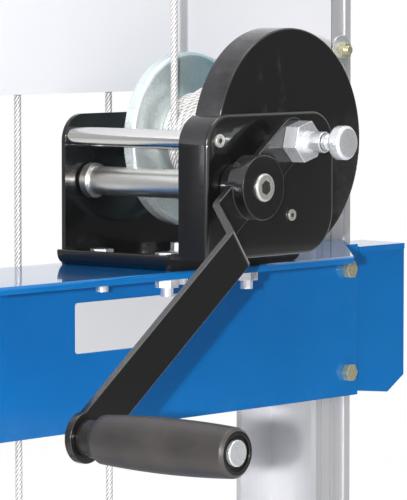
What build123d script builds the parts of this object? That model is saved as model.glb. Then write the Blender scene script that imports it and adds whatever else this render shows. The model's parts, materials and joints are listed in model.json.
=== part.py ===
"""Hand winch lift truck: a straddle base on wheels, an aluminium mast, a cable-lifted fork carriage
and a geared hand winch bolted to a folded beam across the mast. All sizes are millimetres.

Truck frame: X to the operator's right, Y towards the load, Z up, origin on the floor under the middle.
Winch frame: origin on the drum axis at the outer face of the winch's front plate, same directions."""
from build123d import *
from math import atan2, cos, degrees, hypot, pi, radians, sin, sqrt, tan
import os

os.makedirs("parts", exist_ok=True)

# General clearances and the sheet and bolt sizes that many pieces share
FIT = 0.05                 # radial clearance of a shaft in its bore
RUN_GAP = 0.3              # clearance between faces that move past each other
BOLT_D = 10                # frame bolts
BOLT_AF = 16
BOLT_HEAD_H = 6.5
NUT_H = 8
WASHER_T = 2

# Base: two straddle legs of square tube, a cross tube and four wheels
BASE_LENGTH = 1060
LEG_SIZE = 50
LEG_WALL = 3
LEG_UNDERSIDE = 105
CROSS_GAP = 14             # from the mast's operator face to the cross tube
WHEEL_R = 55
WHEEL_W = 40
WHEEL_HUB_R = 18
WHEEL_AXLE_R = 8
YOKE_T = 5
YOKE_LAP = 60              # how far each yoke plate runs back along its leg
YOKE_EYE_R = 20
CASTER_R = 37.5
CASTER_W = 26
CASTER_HUB_R = 13
CASTER_AXLE_R = 5
CASTER_TRAIL = 28
CASTER_FROM_REAR = 80      # swivel axis from the rear end of the leg
CASTER_PLATE = 84
CASTER_PLATE_T = 4
CASTER_RACE_R = 27
CASTER_RACE_H = 9
CASTER_YOKE_T = 4
CASTER_YOKE_R = 33
KING_PIN_R = 6

# Mast: two grooved aluminium channels that open inwards
MAST_FACE_Y = -220
RAIL_INNER_X = 243.5
RAIL_WIDTH = 38.5
RAIL_DEPTH = 71
RAIL_WALL = 4
RAIL_LENGTH = 1541
GROOVE_DEPTH = 1
GROOVE_LINE_W = 1.2
GROOVE_LINES = (6.8, 16.6)  # thin lines on the operator face, from its inner edge
SLOT_FROM, SLOT_TO = 23.0, 32.3
FOOT_W = 46
FOOT_T = 6
FOOT_LONG = 60
BRACE_W = 30
BRACE_T = 8
BRACE_TOP_Z = 560
BRACE_FROM_REAR = 120      # lower brace bolt from the rear end of the leg

# Winch beam: one folded plate, web behind and shelf in front, with a cut-back right end
BEAM_T = 4
BEAM_HALF = 280.5
SHELF_TOP_Z = 898
SHELF_DEPTH = 106
SHELF_LEFT = 206
SHELF_RIGHT = 138.5
SHELF_ROOT = 262           # half length of the shelf at the fold
HEM_H = 4.5
WEB_H = 109.5
BRACKET_T = 4
BRACKET_END_X = 339.5
BRACKET_LOW_IN = 6         # lower edge over the web's, at the rail's inner side
BRACKET_LOW_OUT = 1.75     # and below it, at the outer end
BRACKET_DROP = 6           # bracket top below the shelf top
BRACKET_FLANGE = 38
BRACKET_LIP = 5            # overhang of the top bar in front of the plate
CHAMFER_X, CHAMFER_Z = 19, 11
BEAM_BOLT_X = 268.3
BEAM_BOLT_DROPS = (21, 93)
BEAM_BOLT_D = 6
BEAM_BOLT_AF = 11
BEAM_BOLT_HEAD_H = 5

# Guard panel on the mast face
PANEL_HALF = 256
PANEL_T = 3
PANEL_OVER_SHELF = 107
PANEL_BELOW_HEAD = 235
PANEL_SCREW_INSET = 7
PANEL_SCREW_PITCH = 263
SCREW_HEAD_R = 5
SCREW_HEAD_H = 3
SLOT_NUT_OVER_SHELF = 131
SLOT_NUT_AF = 10
SLOT_NUT_H = 5
SLOT_WASHER_R = 10.5

# Winch station in the winch frame
DRUM_X = 49
DRUM_ABOVE_SHELF = 77.5
FRONT_TO_MAST = 136
SHEET = 3
PAN_LEFT, PAN_RIGHT, PAN_TOP = -85, 40, 19
PAN_LOW = -70.5
PAN_CORNER = 20.5
PAN_CORNER_LOW = 27
PAN_FLANGE = 23
PAN_FLANGE_END = -71
BACK_PLATE_Y = 119
BACK_LEFT, BACK_TOP = -82, 17
BACK_CORNER = 17
TRAY_LEFT, TRAY_RIGHT = -86.5, 44
TRAY_RIM_H = 9.5
TRAY_BEND = 8
TRAY_FRONT = 30
TRAY_REAR = 122
COVER_R = 71.2
COVER_T = 1.5
COVER_DEPTH = 20
COVER_CUT_X = -40
COVER_CUT_Z = 12
RIVET_AT = (-3.4, -45.5)
RIVET_R = 3.6
RIVET_H = 1.5
TIE_AT = (-74.5, 3)
TIE_R = 6
TIE_SCREW_R = 4.2
TIE_SCREW_H = 2
TIE_THREAD_R = 3
MOUNT_X = (-62, 16)
MOUNT_Y = (52, 106)
MOUNT_BOLT_D = 8
MOUNT_BOLT_AF = 13
MOUNT_HEAD_H = 5.3
MOUNT_NUT_H = 6.5
MOUNT_TAIL = 5.5
MOUNT_WASHER_R = 8.5

# Gear train
MODULE = 2.0
PINION_TEETH = 11
GEAR_TEETH = 54
SHIFT = 0.4                # profile shift that keeps the small pinion from being undercut
PRESSURE = 20
BACKLASH = 0.16
GEAR_FRONT, GEAR_BACK = 7.0, 17.0
PINION_LAP = 1.0
CRANK_BEARING = 202.9      # direction of the crank axis from the drum axis, degrees
GEAR_HUB_R = 16

# Drum and cable
AXLE_R = 8
AXLE_HEAD_R = 11
AXLE_HEAD_H = 5
AXLE_NUT_H = 4
DRUM_FRONT, DRUM_BACK = 25.0, 84.5
DRUM_FLANGE_T = 3
DRUM_CORE_R = 20
DRUM_FRONT_R = 50
DRUM_BACK_R = 55.5
DRUM_LIP = 9               # depth of the rim turned back round the rear flange
DRUM_HUB_R = 13
CABLE_D = 4.8
LAYERS = 3
FULL_WRAPS = 9

# Crank shaft, crank, lock plunger and grip
SHAFT_R = 6
SLEEVE_R = 9
COLLAR_R = 11
COLLAR_T = 5
BUSH_R = 8
BUSH_FLANGE_R = 9
BUSH_FLANGE_T = 1.5
CRANK_BAR_W = 26
CRANK_BAR_T = 5
CRANK_END_R = 15
CRANK_BACK = -11           # rear face of the crank bar at the hub
CRANK_OFFSET = 29          # how far the long arm stands in front of the hub part
CRANK_LENGTH = 228
CRANK_DIRECTION = 216.1    # long arm, degrees in the X-Z plane
BEND_FROM, BEND_TO = 32, 58
TAIL_LENGTH = 48.6
TAIL_SHIFT = 2.3           # lock plunger from the bar's middle line
HUB_R = 20
HUB_T = 8
HUB_SCREW_R = 8.7
HUB_SCREW_H = 2
HUB_SOCKET_AF = 8
PLUNGER_AF = 23
PLUNGER_HEX_TURN = -21
PLUNGER_HEX_H = 10.5
PLUNGER_THREAD_R = 7
PLUNGER_SLEEVE_R = 6.5
PLUNGER_SLEEVE_H = 13
PLUNGER_NECK_R = 5.25
PLUNGER_NECK_H = 9.5
PLUNGER_KNOB_R = 10.5
PLUNGER_KNOB_H = 8.5
PLUNGER_PIN_R = 3.5
PLUNGER_TRAVEL = 8
PLUNGER_TIP_GAP = 3        # pin tip to the front plate while the plunger is pulled
LOCK_HOLE_R = 4.5
GRIP_LENGTH = 110
GRIP_NECK_R = 11.5
GRIP_NECK_L = 9
GRIP_SHOULDER = 4
GRIP_START_R = 14.2
GRIP_BELLY_R = 15.9
GRIP_END_R = 14.3
GRIP_RECESS_R = 10.3
GRIP_RECESS_D = 3
GRIP_PIN_R = 5
GRIP_HEAD_R = 7.6
GRIP_HEAD_H = 3

# Head, sheaves and lift cable
HEAD_T = 4
HEAD_SKIRT = 60
RUN_BEHIND_FACE = 14       # lift runs behind the mast's operator face
RUN_HALF = 43.4            # lift runs from the truck's middle
SHEAVE_W = 14
SHEAVE_RIM = 7
SHEAVE_AXLE_R = 8
SHEAVE_HUB_R = 15
SHEAVE_WEB_W = 7
CHEEK_T = 5
CHEEK_GAP = 0.5
HEAD_BASE_T = 6
HEAD_BASE_HALF = 40
HEAD_BASE_LONG = 66
HEAD_BOLT_OUT = 28
SHEAVE_OVER_BASE = 4
ANCHOR_R = 6.5
ANCHOR_LONG = 44
ANCHOR_GRIP = 22

# Carriage and forks
SIDE_T = 8
SIDE_GAP = 4
SIDE_BOTTOM_Z = 165
SIDE_H = 265
BAR = 40
BAR_WALL = 3
BAR_FRONT_Y = -212
LOWER_BAR_Z = 180
UPPER_BAR_Z = 385
BLOCK_H = 44
FORK_X = 150
FORK_W = 60
FORK_T = 28
FORK_TIP_T = 12
FORK_UNDERSIDE = 55
FORK_HEIGHT = 370
FORK_LENGTH = 610
FORK_HEEL_R = 45
FORK_TIP_R = 22
FORK_BOLT_D = 12
FORK_BOLT_AF = 18
FORK_BOLT_HEAD_H = 7.5

# Push handle
HANDLE_Z = 1250
HANDLE_R = 14
HANDLE_WALL = 2
HANDLE_BACK = 140          # bar behind the mast's operator face
HANDLE_BEND = 60
HANDLE_PLATE_T = 6
HANDLE_PLATE_H = 70
HANDLE_PLATE_L = 50
HANDLE_GRIP_R = 17
HANDLE_GRIP_L = 130
HANDLE_GRIP_X = 135

# Places worked out from the sizes above
LEG_TOP = LEG_UNDERSIDE + LEG_SIZE
RAIL_X = RAIL_INNER_X + RAIL_WIDTH / 2
RAIL_OUTER_X = RAIL_INNER_X + RAIL_WIDTH
MAST_BACK_Y = MAST_FACE_Y + RAIL_DEPTH
RAIL_TOP = LEG_TOP + RAIL_LENGTH
REAR_Y = -BASE_LENGTH / 2
FRONT_AXLE_Y = BASE_LENGTH / 2 - WHEEL_R
LEG_FRONT_Y = FRONT_AXLE_Y - WHEEL_R - 5
CASTER_Y = REAR_Y + CASTER_FROM_REAR
WEB_BACK_Y = MAST_FACE_Y - BRACKET_T
WEB_FRONT_Y = WEB_BACK_Y - BEAM_T
SHELF_FRONT_Y = WEB_FRONT_Y - SHELF_DEPTH
WINCH_Y = MAST_FACE_Y - FRONT_TO_MAST
DRUM_Z = SHELF_TOP_Z + DRUM_ABOVE_SHELF
PANEL_BOTTOM_Z = SHELF_TOP_Z + PANEL_OVER_SHELF
SLOT_NUT_Z = SHELF_TOP_Z + SLOT_NUT_OVER_SHELF
WINCH = Pos(DRUM_X, WINCH_Y, DRUM_Z)
TRAY_BOTTOM = -DRUM_ABOVE_SHELF
TRAY_TOP = TRAY_BOTTOM + SHEET
CENTRES = MODULE * (PINION_TEETH + GEAR_TEETH) / 2
CRANK_X = CENTRES * cos(radians(CRANK_BEARING))
CRANK_Z = CENTRES * sin(radians(CRANK_BEARING))
LOCK_X = CRANK_X - TAIL_LENGTH * cos(radians(CRANK_DIRECTION)) - TAIL_SHIFT * sin(radians(CRANK_DIRECTION))
LOCK_Z = CRANK_Z - TAIL_LENGTH * sin(radians(CRANK_DIRECTION)) + TAIL_SHIFT * cos(radians(CRANK_DIRECTION))
CABLE_R = CABLE_D / 2
PACK_R = DRUM_CORE_R + CABLE_R + (LAYERS - 1) * CABLE_D
FIRST_WRAP_Y = DRUM_FRONT + RUN_GAP + CABLE_R
LEAVE_X = -(PACK_R + RUN_GAP)
LEAVE_Y = FIRST_WRAP_Y + FULL_WRAPS * CABLE_D + RUN_GAP
CRANK_FRONT = CRANK_BACK - CRANK_BAR_T
ARM_FRONT = CRANK_FRONT - CRANK_OFFSET
HUB_FRONT = CRANK_FRONT - HUB_T
GRIP_START = ARM_FRONT - RUN_GAP
GRIP_END = GRIP_START - GRIP_LENGTH
HEAD_TOP = RAIL_TOP + HEAD_T
PANEL_TOP_Z = HEAD_TOP - HEAD_SKIRT - PANEL_BELOW_HEAD
FRONT_RUN = (DRUM_X + LEAVE_X, WINCH_Y + LEAVE_Y)
LIFT_Y = MAST_FACE_Y + RUN_BEHIND_FACE
HEAD_DX = RUN_HALF - FRONT_RUN[0]
HEAD_DY = LIFT_Y - FRONT_RUN[1]
HEAD_R = hypot(HEAD_DX, HEAD_DY) / 2
HEAD_X = (RUN_HALF + FRONT_RUN[0]) / 2
HEAD_Y = (LIFT_Y + FRONT_RUN[1]) / 2
HEAD_TURN = degrees(atan2(HEAD_DY, HEAD_DX))
HEAD_AXLE_Z = HEAD_TOP + HEAD_BASE_T + SHEAVE_OVER_BASE + HEAD_R + SHEAVE_RIM
LIFT_RUN_TOP = HEAD_TOP - 10
UPPER_BAR_TOP = UPPER_BAR_Z + BAR
LOOP_Z = UPPER_BAR_TOP + CHEEK_T + SHEAVE_OVER_BASE + RUN_HALF + SHEAVE_RIM
HANDLE_X = RAIL_OUTER_X + HANDLE_PLATE_T + HANDLE_R - 0.5
FOOT_BOLT = (RAIL_X + FOOT_W / 4 + 1, LEG_TOP + FOOT_LONG * 0.55)
HANDLE_Y = MAST_FACE_Y - HANDLE_BACK


# Small shape helpers
def block(x0, x1, y0, y1, z0, z1):
    centre = Pos((x0 + x1) / 2, (y0 + y1) / 2, (z0 + z1) / 2)
    return centre * Box(abs(x1 - x0), abs(y1 - y0), abs(z1 - z0))


def rod_x(r, x0, x1, y, z):
    return Pos((x0 + x1) / 2, y, z) * Rot(0, 90, 0) * Cylinder(r, abs(x1 - x0))


def rod_y(r, y0, y1, x=0, z=0):
    return Pos(x, (y0 + y1) / 2, z) * Rot(90, 0, 0) * Cylinder(r, abs(y1 - y0))


def rod_z(r, z0, z1, x=0, y=0):
    return Pos(x, y, (z0 + z1) / 2) * Cylinder(r, abs(z1 - z0))


def slab_x(sketch, x0, x1):
    """A sketch drawn as (Y, Z), pulled from x0 to x1."""
    return extrude(Plane(origin=(x0, 0, 0), x_dir=(0, 1, 0), z_dir=(1, 0, 0)) * sketch, amount=x1 - x0)


def slab_y(sketch, y0, y1):
    """A sketch drawn as (X, Z), pulled from y0 to y1."""
    return extrude(Plane(origin=(0, y1, 0), x_dir=(1, 0, 0), z_dir=(0, -1, 0)) * sketch, amount=y1 - y0)


def slab_z(sketch, z0, z1):
    return extrude(Pos(0, 0, z0) * sketch, amount=z1 - z0)


def polygon(*points):
    return make_face(Polyline(*points, close=True))


def rounded(x0, x1, z0, z1, corners):
    """A rectangle with its own radius at each corner: top left, top right, low right, low left."""
    shape = Pos((x0 + x1) / 2, (z0 + z1) / 2) * Rectangle(x1 - x0, z1 - z0)
    for (x, z), radius in zip(((x0, z1), (x1, z1), (x1, z0), (x0, z0)), corners):
        if radius:
            shape = fillet(shape.vertices().sort_by_distance((x, z, 0))[0], radius)
    return shape


def turned_y(points, x=0, z=0):
    """A solid of revolution about a line along Y, from (radius, Y) points."""
    return Pos(x, 0, z) * revolve(polygon(*points), Axis.Y)


def hexagon(across_flats, turn=0):
    return Rot(0, 0, turn) * RegularPolygon(across_flats / 2, 6, major_radius=False)


def hex_bolt(diameter, across_flats, head, grip, tail=0, nut=0):
    """A bolt with its head seated on Z=0, shank downwards, and an optional nut under the grip."""
    solid = slab_z(hexagon(across_flats), 0, head) + rod_z(diameter / 2, -grip - tail, 0)
    if nut:
        solid += slab_z(hexagon(across_flats), -grip - nut, -grip)
    return solid


def mirrored(solid):
    return mirror(solid, Plane.YZ)


def both(solid):
    return [solid, mirrored(solid)]


def sheave(pitch_r):
    """A grooved wheel about Z, with the groove at the cable's pitch radius."""
    rim, half, web = pitch_r + SHEAVE_RIM, SHEAVE_W / 2, SHEAVE_WEB_W / 2
    groove_r = CABLE_R + RUN_GAP
    inner = pitch_r - groove_r - 5
    with BuildSketch(Plane.XZ) as profile:
        with BuildLine():
            Polyline((SHEAVE_AXLE_R + FIT, -half), (SHEAVE_HUB_R, -half), (SHEAVE_HUB_R, -web), (inner, -web),
                     (inner, -half), (rim, -half), (pitch_r, -groove_r))
            ThreePointArc((pitch_r, -groove_r), (pitch_r - groove_r, 0), (pitch_r, groove_r))
            Polyline((pitch_r, groove_r), (rim, half), (inner, half), (inner, web), (SHEAVE_HUB_R, web),
                     (SHEAVE_HUB_R, half), (SHEAVE_AXLE_R + FIT, half), (SHEAVE_AXLE_R + FIT, -half))
        make_face()
    return revolve(profile.sketch, Axis.Z)


# Base
def leg():
    """Right leg: a square tube with a closed rear end and two yoke plates for the front wheel."""
    x0, x1 = RAIL_X - LEG_SIZE / 2, RAIL_X + LEG_SIZE / 2
    tube = block(x0, x1, REAR_Y, LEG_FRONT_Y, LEG_UNDERSIDE, LEG_TOP)
    tube -= block(x0 + LEG_WALL, x1 - LEG_WALL, REAR_Y + LEG_WALL, LEG_FRONT_Y,
                  LEG_UNDERSIDE + LEG_WALL, LEG_TOP - LEG_WALL)
    lap = Pos(LEG_FRONT_Y - YOKE_LAP / 2, (LEG_UNDERSIDE + LEG_TOP) / 2) * Rectangle(YOKE_LAP, LEG_SIZE - 6)
    eye = Pos(FRONT_AXLE_Y, WHEEL_R) * Circle(YOKE_EYE_R)
    plate = make_hull((lap + eye).edges()) - Pos(FRONT_AXLE_Y, WHEEL_R) * Circle(WHEEL_AXLE_R + FIT)
    tube -= rod_x(BOLT_D / 2 + FIT, x1 - LEG_WALL, x1, *brace_line()[0])
    return tube + slab_x(plate, x1, x1 + YOKE_T) + slab_x(plate, x0 - YOKE_T, x0)


def base_crossbar():
    """Square tube between the legs, on the operator's side of the mast."""
    half = RAIL_X - LEG_SIZE / 2
    y1 = MAST_FACE_Y - CROSS_GAP
    y0 = y1 - LEG_SIZE
    return (block(-half, half, y0, y1, LEG_UNDERSIDE, LEG_TOP)
            - block(-half, half, y0 + LEG_WALL, y1 - LEG_WALL, LEG_UNDERSIDE + LEG_WALL, LEG_TOP - LEG_WALL))


def front_axle():
    """Headed pin through both yoke plates, with a nut on the outer side."""
    half = LEG_SIZE / 2 + YOKE_T
    pin = rod_x(WHEEL_AXLE_R, RAIL_X - half, RAIL_X + half + NUT_H, FRONT_AXLE_Y, WHEEL_R)
    flats = Pos(FRONT_AXLE_Y, WHEEL_R) * hexagon(3 * WHEEL_AXLE_R)
    return (pin + slab_x(flats, RAIL_X + half, RAIL_X + half + NUT_H)
            + slab_x(flats, RAIL_X - half - BOLT_HEAD_H, RAIL_X - half))


def wheel_solid(radius, width, hub_r, bore_r, hub_w):
    """A moulded wheel about X: rounded tread, dished web, hub as wide as its fork."""
    t, w, rim = width / 2, width / 5, radius * 0.72
    with BuildSketch(Plane.XY) as profile:
        with BuildLine():
            Polyline((-hub_w / 2, bore_r), (-hub_w / 2, hub_r), (-w, hub_r + 2), (-w, rim - 3), (-t, rim),
                     (-t, radius - 5))
            ThreePointArc((-t, radius - 5), (0, radius), (t, radius - 5))
            Polyline((t, radius - 5), (t, rim), (w, rim - 3), (w, hub_r + 2), (hub_w / 2, hub_r),
                     (hub_w / 2, bore_r), (-hub_w / 2, bore_r))
        make_face()
    return revolve(profile.sketch, Axis.X)


def front_wheel():
    hub_w = LEG_SIZE - 2 * RUN_GAP
    solid = wheel_solid(WHEEL_R, WHEEL_W, WHEEL_HUB_R, WHEEL_AXLE_R + FIT, hub_w)
    return Pos(RAIL_X, FRONT_AXLE_Y, WHEEL_R) * solid


def caster_plate():
    """Fixed top plate with the swivel race and king pin."""
    top = LEG_UNDERSIDE
    sketch = fillet(Rectangle(CASTER_PLATE, CASTER_PLATE).vertices(), 8)
    race_low = top - CASTER_PLATE_T - CASTER_RACE_H
    solid = slab_z(sketch, top - CASTER_PLATE_T, top) + rod_z(CASTER_RACE_R, race_low, top - CASTER_PLATE_T)
    pin_low = race_low - RUN_GAP - CASTER_YOKE_T
    solid += rod_z(KING_PIN_R, pin_low - 6, race_low)
    solid += rod_z(KING_PIN_R + 4, pin_low - 6, pin_low - RUN_GAP)
    return Pos(RAIL_X, CASTER_Y) * solid


def caster_fork():
    """Swivel fork: a round crown and two raked arms, with the wheel's riveted axle."""
    top = LEG_UNDERSIDE - CASTER_PLATE_T - CASTER_RACE_H - RUN_GAP
    crown = rod_z(CASTER_YOKE_R, top - CASTER_YOKE_T, top)
    inner = CASTER_W / 2 + 3
    lap = Pos(-8, top - 10) * Rectangle(46, 20)
    eye = Pos(-CASTER_TRAIL, CASTER_R) * Circle(11)
    arm = make_hull((lap + eye).edges())
    arms = slab_x(arm, inner, inner + CASTER_YOKE_T) + slab_x(arm, -inner - CASTER_YOKE_T, -inner)
    solid = crown + arms - rod_z(KING_PIN_R + FIT, top - CASTER_YOKE_T, top)
    axle = rod_x(CASTER_AXLE_R, -inner - CASTER_YOKE_T - 4, inner + CASTER_YOKE_T + 4, -CASTER_TRAIL, CASTER_R)
    return Pos(RAIL_X, CASTER_Y) * (solid + axle)


def caster_wheel():
    hub_w = CASTER_W + 6 - 2 * RUN_GAP
    solid = wheel_solid(CASTER_R, CASTER_W, CASTER_HUB_R, CASTER_AXLE_R + FIT, hub_w)
    return Pos(RAIL_X, CASTER_Y - CASTER_TRAIL, CASTER_R) * solid


# Mast
def mast_rail():
    """Right rail: a channel that opens towards the middle, with extrusion lines and a slot on its face."""
    x0, x1 = RAIL_INNER_X, RAIL_OUTER_X
    y0, y1 = MAST_FACE_Y, MAST_BACK_Y
    section = Pos((x0 + x1) / 2, (y0 + y1) / 2) * Rectangle(RAIL_WIDTH, RAIL_DEPTH)
    hollow = Pos((x0 + x1 - RAIL_WALL) / 2, (y0 + y1) / 2) * Rectangle(
        RAIL_WIDTH - RAIL_WALL, RAIL_DEPTH - 2 * RAIL_WALL)
    section -= hollow
    for line in GROOVE_LINES:
        section -= Pos(x0 + line, y0 + GROOVE_DEPTH / 2) * Rectangle(GROOVE_LINE_W, GROOVE_DEPTH)
    section -= Pos(x0 + (SLOT_FROM + SLOT_TO) / 2, y0 + GROOVE_DEPTH / 2) * Rectangle(
        SLOT_TO - SLOT_FROM, GROOVE_DEPTH)
    rail = slab_z(section, LEG_TOP, RAIL_TOP)
    hole = BOLT_D / 2 + FIT
    for drop in BEAM_BOLT_DROPS:
        rail -= rod_y(BEAM_BOLT_D / 2 + FIT, y0, y0 + RAIL_WALL, BEAM_BOLT_X, SHELF_TOP_Z - drop)
    rail -= rod_y(hole, y0, y0 + RAIL_WALL, RAIL_X, HEAD_TOP - HEAD_SKIRT / 2)
    for x, z in panel_screw_places():
        rail -= rod_y(SCREW_HEAD_R / 2 + FIT, y0, y0 + RAIL_WALL, x, z)
    rail -= rod_y(hole, y1 - RAIL_WALL, y1, *FOOT_BOLT)
    side_holes = [brace_line()[1]] + [(MAST_FACE_Y + RAIL_DEPTH / 2, z) for z in handle_bolt_heights()]
    for y, z in side_holes:
        rail -= rod_x(hole, x1 - RAIL_WALL, x1, y, z)
    return rail


def mast_feet():
    """Gusseted angle brackets behind the rails, on top of the legs."""
    outline = polygon((0, 0), (FOOT_LONG, 0), (FOOT_LONG, FOOT_T), (FOOT_T, FOOT_T), (FOOT_T, FOOT_LONG),
                      (0, FOOT_LONG))
    gusset = polygon((0, 0), (FOOT_LONG, 0), (FOOT_LONG, FOOT_T), (FOOT_T, FOOT_LONG), (0, FOOT_LONG))
    angle = slab_x(outline, -FOOT_W / 2, FOOT_W / 2) + slab_x(gusset, -FOOT_T / 2, FOOT_T / 2)
    foot = Pos(RAIL_X, MAST_BACK_Y, LEG_TOP) * angle
    x, z = FOOT_BOLT
    return both(foot - rod_y(BOLT_D / 2 + FIT, MAST_BACK_Y, MAST_BACK_Y + FOOT_T, x, z))


def foot_bolts():
    """Bolts through the foot brackets into the rails."""
    bolt = hex_bolt(BOLT_D, BOLT_AF, BOLT_HEAD_H, FOOT_T + RAIL_WALL - RUN_GAP)
    x, z = FOOT_BOLT
    return both(Pos(x, MAST_BACK_Y + FOOT_T, z) * Rot(-90, 0, 0) * bolt)


def brace_line():
    """The two fixing points of a brace, as (Y, Z)."""
    low = (REAR_Y + BRACE_FROM_REAR, LEG_TOP - LEG_SIZE / 2)
    high = (MAST_FACE_Y + RAIL_DEPTH / 2, BRACE_TOP_Z)
    return low, high


def mast_brace():
    """Flat bar on the outer side, from the rail down to the rear of the leg, joggled onto the leg."""
    low, high = brace_line()
    span = hypot(high[0] - low[0], high[1] - low[1])
    tilt = degrees(atan2(high[1] - low[1], high[0] - low[0]))
    bar = Pos(*low) * Rot(0, 0, tilt) * Pos(span / 2, 0) * SlotCenterToCenter(span, BRACE_W)
    holes = [Pos(*point) * Circle(BOLT_D / 2 + FIT) for point in (low, high)]
    x0 = RAIL_X + LEG_SIZE / 2
    flat = slab_x(bar - holes, x0, x0 + BRACE_T)
    spacer = Pos(*high) * (Circle(BRACE_W / 2) - Circle(BOLT_D / 2 + FIT))
    return flat + slab_x(spacer, RAIL_OUTER_X, x0)


def brace_bolts():
    low, high = brace_line()
    x0 = RAIL_X + LEG_SIZE / 2 + BRACE_T
    bolts = []
    for point, grip in ((low, BRACE_T + LEG_WALL), (high, x0 - RAIL_OUTER_X + RAIL_WALL)):
        bolt = hex_bolt(BOLT_D, BOLT_AF, BOLT_HEAD_H, grip - RUN_GAP)
        bolts.append(Pos(x0, *point) * Rot(0, 90, 0) * bolt)
    return bolts + [mirrored(bolt) for bolt in bolts]


# Beam, brackets and panel
def winch_beam():
    """Folded plate: vertical web, shelf bent forward over its top edge, hem along the shelf's front."""
    z1 = SHELF_TOP_Z
    z0 = z1 - WEB_H
    web = block(-BEAM_HALF, BEAM_HALF, WEB_FRONT_Y, WEB_BACK_Y, z0, z1 - BEAM_T)
    plan = polygon((-SHELF_ROOT, WEB_BACK_Y), (-SHELF_ROOT, WEB_FRONT_Y), (-SHELF_LEFT, SHELF_FRONT_Y),
                   (SHELF_RIGHT, SHELF_FRONT_Y), (SHELF_ROOT, WEB_FRONT_Y), (SHELF_ROOT, WEB_BACK_Y))
    beam = web + slab_z(plan, z1 - BEAM_T, z1)
    beam += block(-SHELF_LEFT, SHELF_RIGHT, SHELF_FRONT_Y, SHELF_FRONT_Y + BEAM_T, z1 - HEM_H, z1)
    edges = beam.edges().filter_by(Axis.X)
    beam = fillet(edges.sort_by_distance((0, WEB_BACK_Y, z1))[0], BEAM_T * 0.9)
    front = beam.edges().filter_by(Axis.X).sort_by_distance((0, SHELF_FRONT_Y, z1))[0]
    beam = fillet(front, BEAM_T / 2)
    for x in MOUNT_X:
        for y in MOUNT_Y:
            beam -= rod_z(MOUNT_BOLT_D / 2 + FIT, z0, z1, DRUM_X + x, WINCH_Y + y)
    for x in (-BEAM_BOLT_X, BEAM_BOLT_X):
        for drop in BEAM_BOLT_DROPS:
            beam -= rod_y(BEAM_BOLT_D / 2 + FIT, WEB_FRONT_Y, WEB_BACK_Y, x, z1 - drop)
    return beam


def beam_bracket():
    """Right bracket between web and rail: plate with a flat bar along its top, lower outer corner cut off."""
    z1 = SHELF_TOP_Z - BRACKET_DROP
    web_low = SHELF_TOP_Z - WEB_H
    z0 = web_low - BRACKET_LOW_OUT
    face = polygon((RAIL_INNER_X, web_low + BRACKET_LOW_IN), (BRACKET_END_X - CHAMFER_X, z0),
                   (BRACKET_END_X, z0 + CHAMFER_Z), (BRACKET_END_X, z1), (RAIL_INNER_X, z1))
    plate = slab_y(face, WEB_BACK_Y, MAST_FACE_Y)
    bar_y0, bar_y1 = WEB_BACK_Y - BRACKET_LIP, WEB_BACK_Y + BRACKET_FLANGE
    plate += block(RAIL_OUTER_X, BRACKET_END_X, bar_y0, bar_y1, z1 - BRACKET_T, z1)
    for drop in BEAM_BOLT_DROPS:
        plate -= rod_y(BEAM_BOLT_D / 2 + FIT, WEB_BACK_Y, MAST_FACE_Y, BEAM_BOLT_X, SHELF_TOP_Z - drop)
    return plate


def beam_bolts():
    """Bolts through web, bracket and rail face."""
    bolts = []
    grip = BEAM_T + BRACKET_T + RAIL_WALL - RUN_GAP
    for drop in BEAM_BOLT_DROPS:
        bolt = hex_bolt(BEAM_BOLT_D, BEAM_BOLT_AF, BEAM_BOLT_HEAD_H, grip)
        bolts.append(Pos(BEAM_BOLT_X, WEB_FRONT_Y, SHELF_TOP_Z - drop) * Rot(90, 0, 0) * bolt)
    return bolts + [mirrored(bolt) for bolt in bolts]


def panel_screw_places():
    """Rows of two screws, set out downwards from the panel's top edge."""
    span = PANEL_TOP_Z - PANEL_BOTTOM_Z - 2 * PANEL_SCREW_INSET
    rows = 1 + int(span / PANEL_SCREW_PITCH)
    heights = [PANEL_TOP_Z - PANEL_SCREW_INSET - row * PANEL_SCREW_PITCH for row in reversed(range(rows))]
    x = PANEL_HALF - PANEL_SCREW_INSET
    return [(side * x, z) for side in (-1, 1) for z in heights]


def guard_panel():
    """Plain sheet across the mast, in front of the lift cables."""
    sheet = block(-PANEL_HALF, PANEL_HALF, MAST_FACE_Y - PANEL_T, MAST_FACE_Y, PANEL_BOTTOM_Z, PANEL_TOP_Z)
    for x, z in panel_screw_places():
        sheet -= rod_y(SCREW_HEAD_R / 2 + FIT, MAST_FACE_Y - PANEL_T, MAST_FACE_Y, x, z)
    return sheet


def panel_screws():
    screws = []
    for x, z in panel_screw_places():
        face = MAST_FACE_Y - PANEL_T
        screws.append(rod_y(SCREW_HEAD_R, face - SCREW_HEAD_H, face, x, z)
                      + rod_y(SCREW_HEAD_R / 2, face, MAST_FACE_Y + RAIL_WALL - RUN_GAP, x, z))
    return screws


def slot_nuts():
    """A nut and washer in each rail's face slot."""
    x = RAIL_INNER_X + (SLOT_FROM + SLOT_TO) / 2
    place = Pos(x, MAST_FACE_Y, SLOT_NUT_Z) * Rot(90, 0, 0)
    nut = slab_z(hexagon(SLOT_NUT_AF), WASHER_T / 2, WASHER_T / 2 + SLOT_NUT_H)
    nut += rod_z(SLOT_WASHER_R, 0, WASHER_T / 2)
    nut += rod_z(SLOT_NUT_AF * 0.3, -GROOVE_DEPTH, SLOT_NUT_H + 3)
    return both(place * nut)


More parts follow.
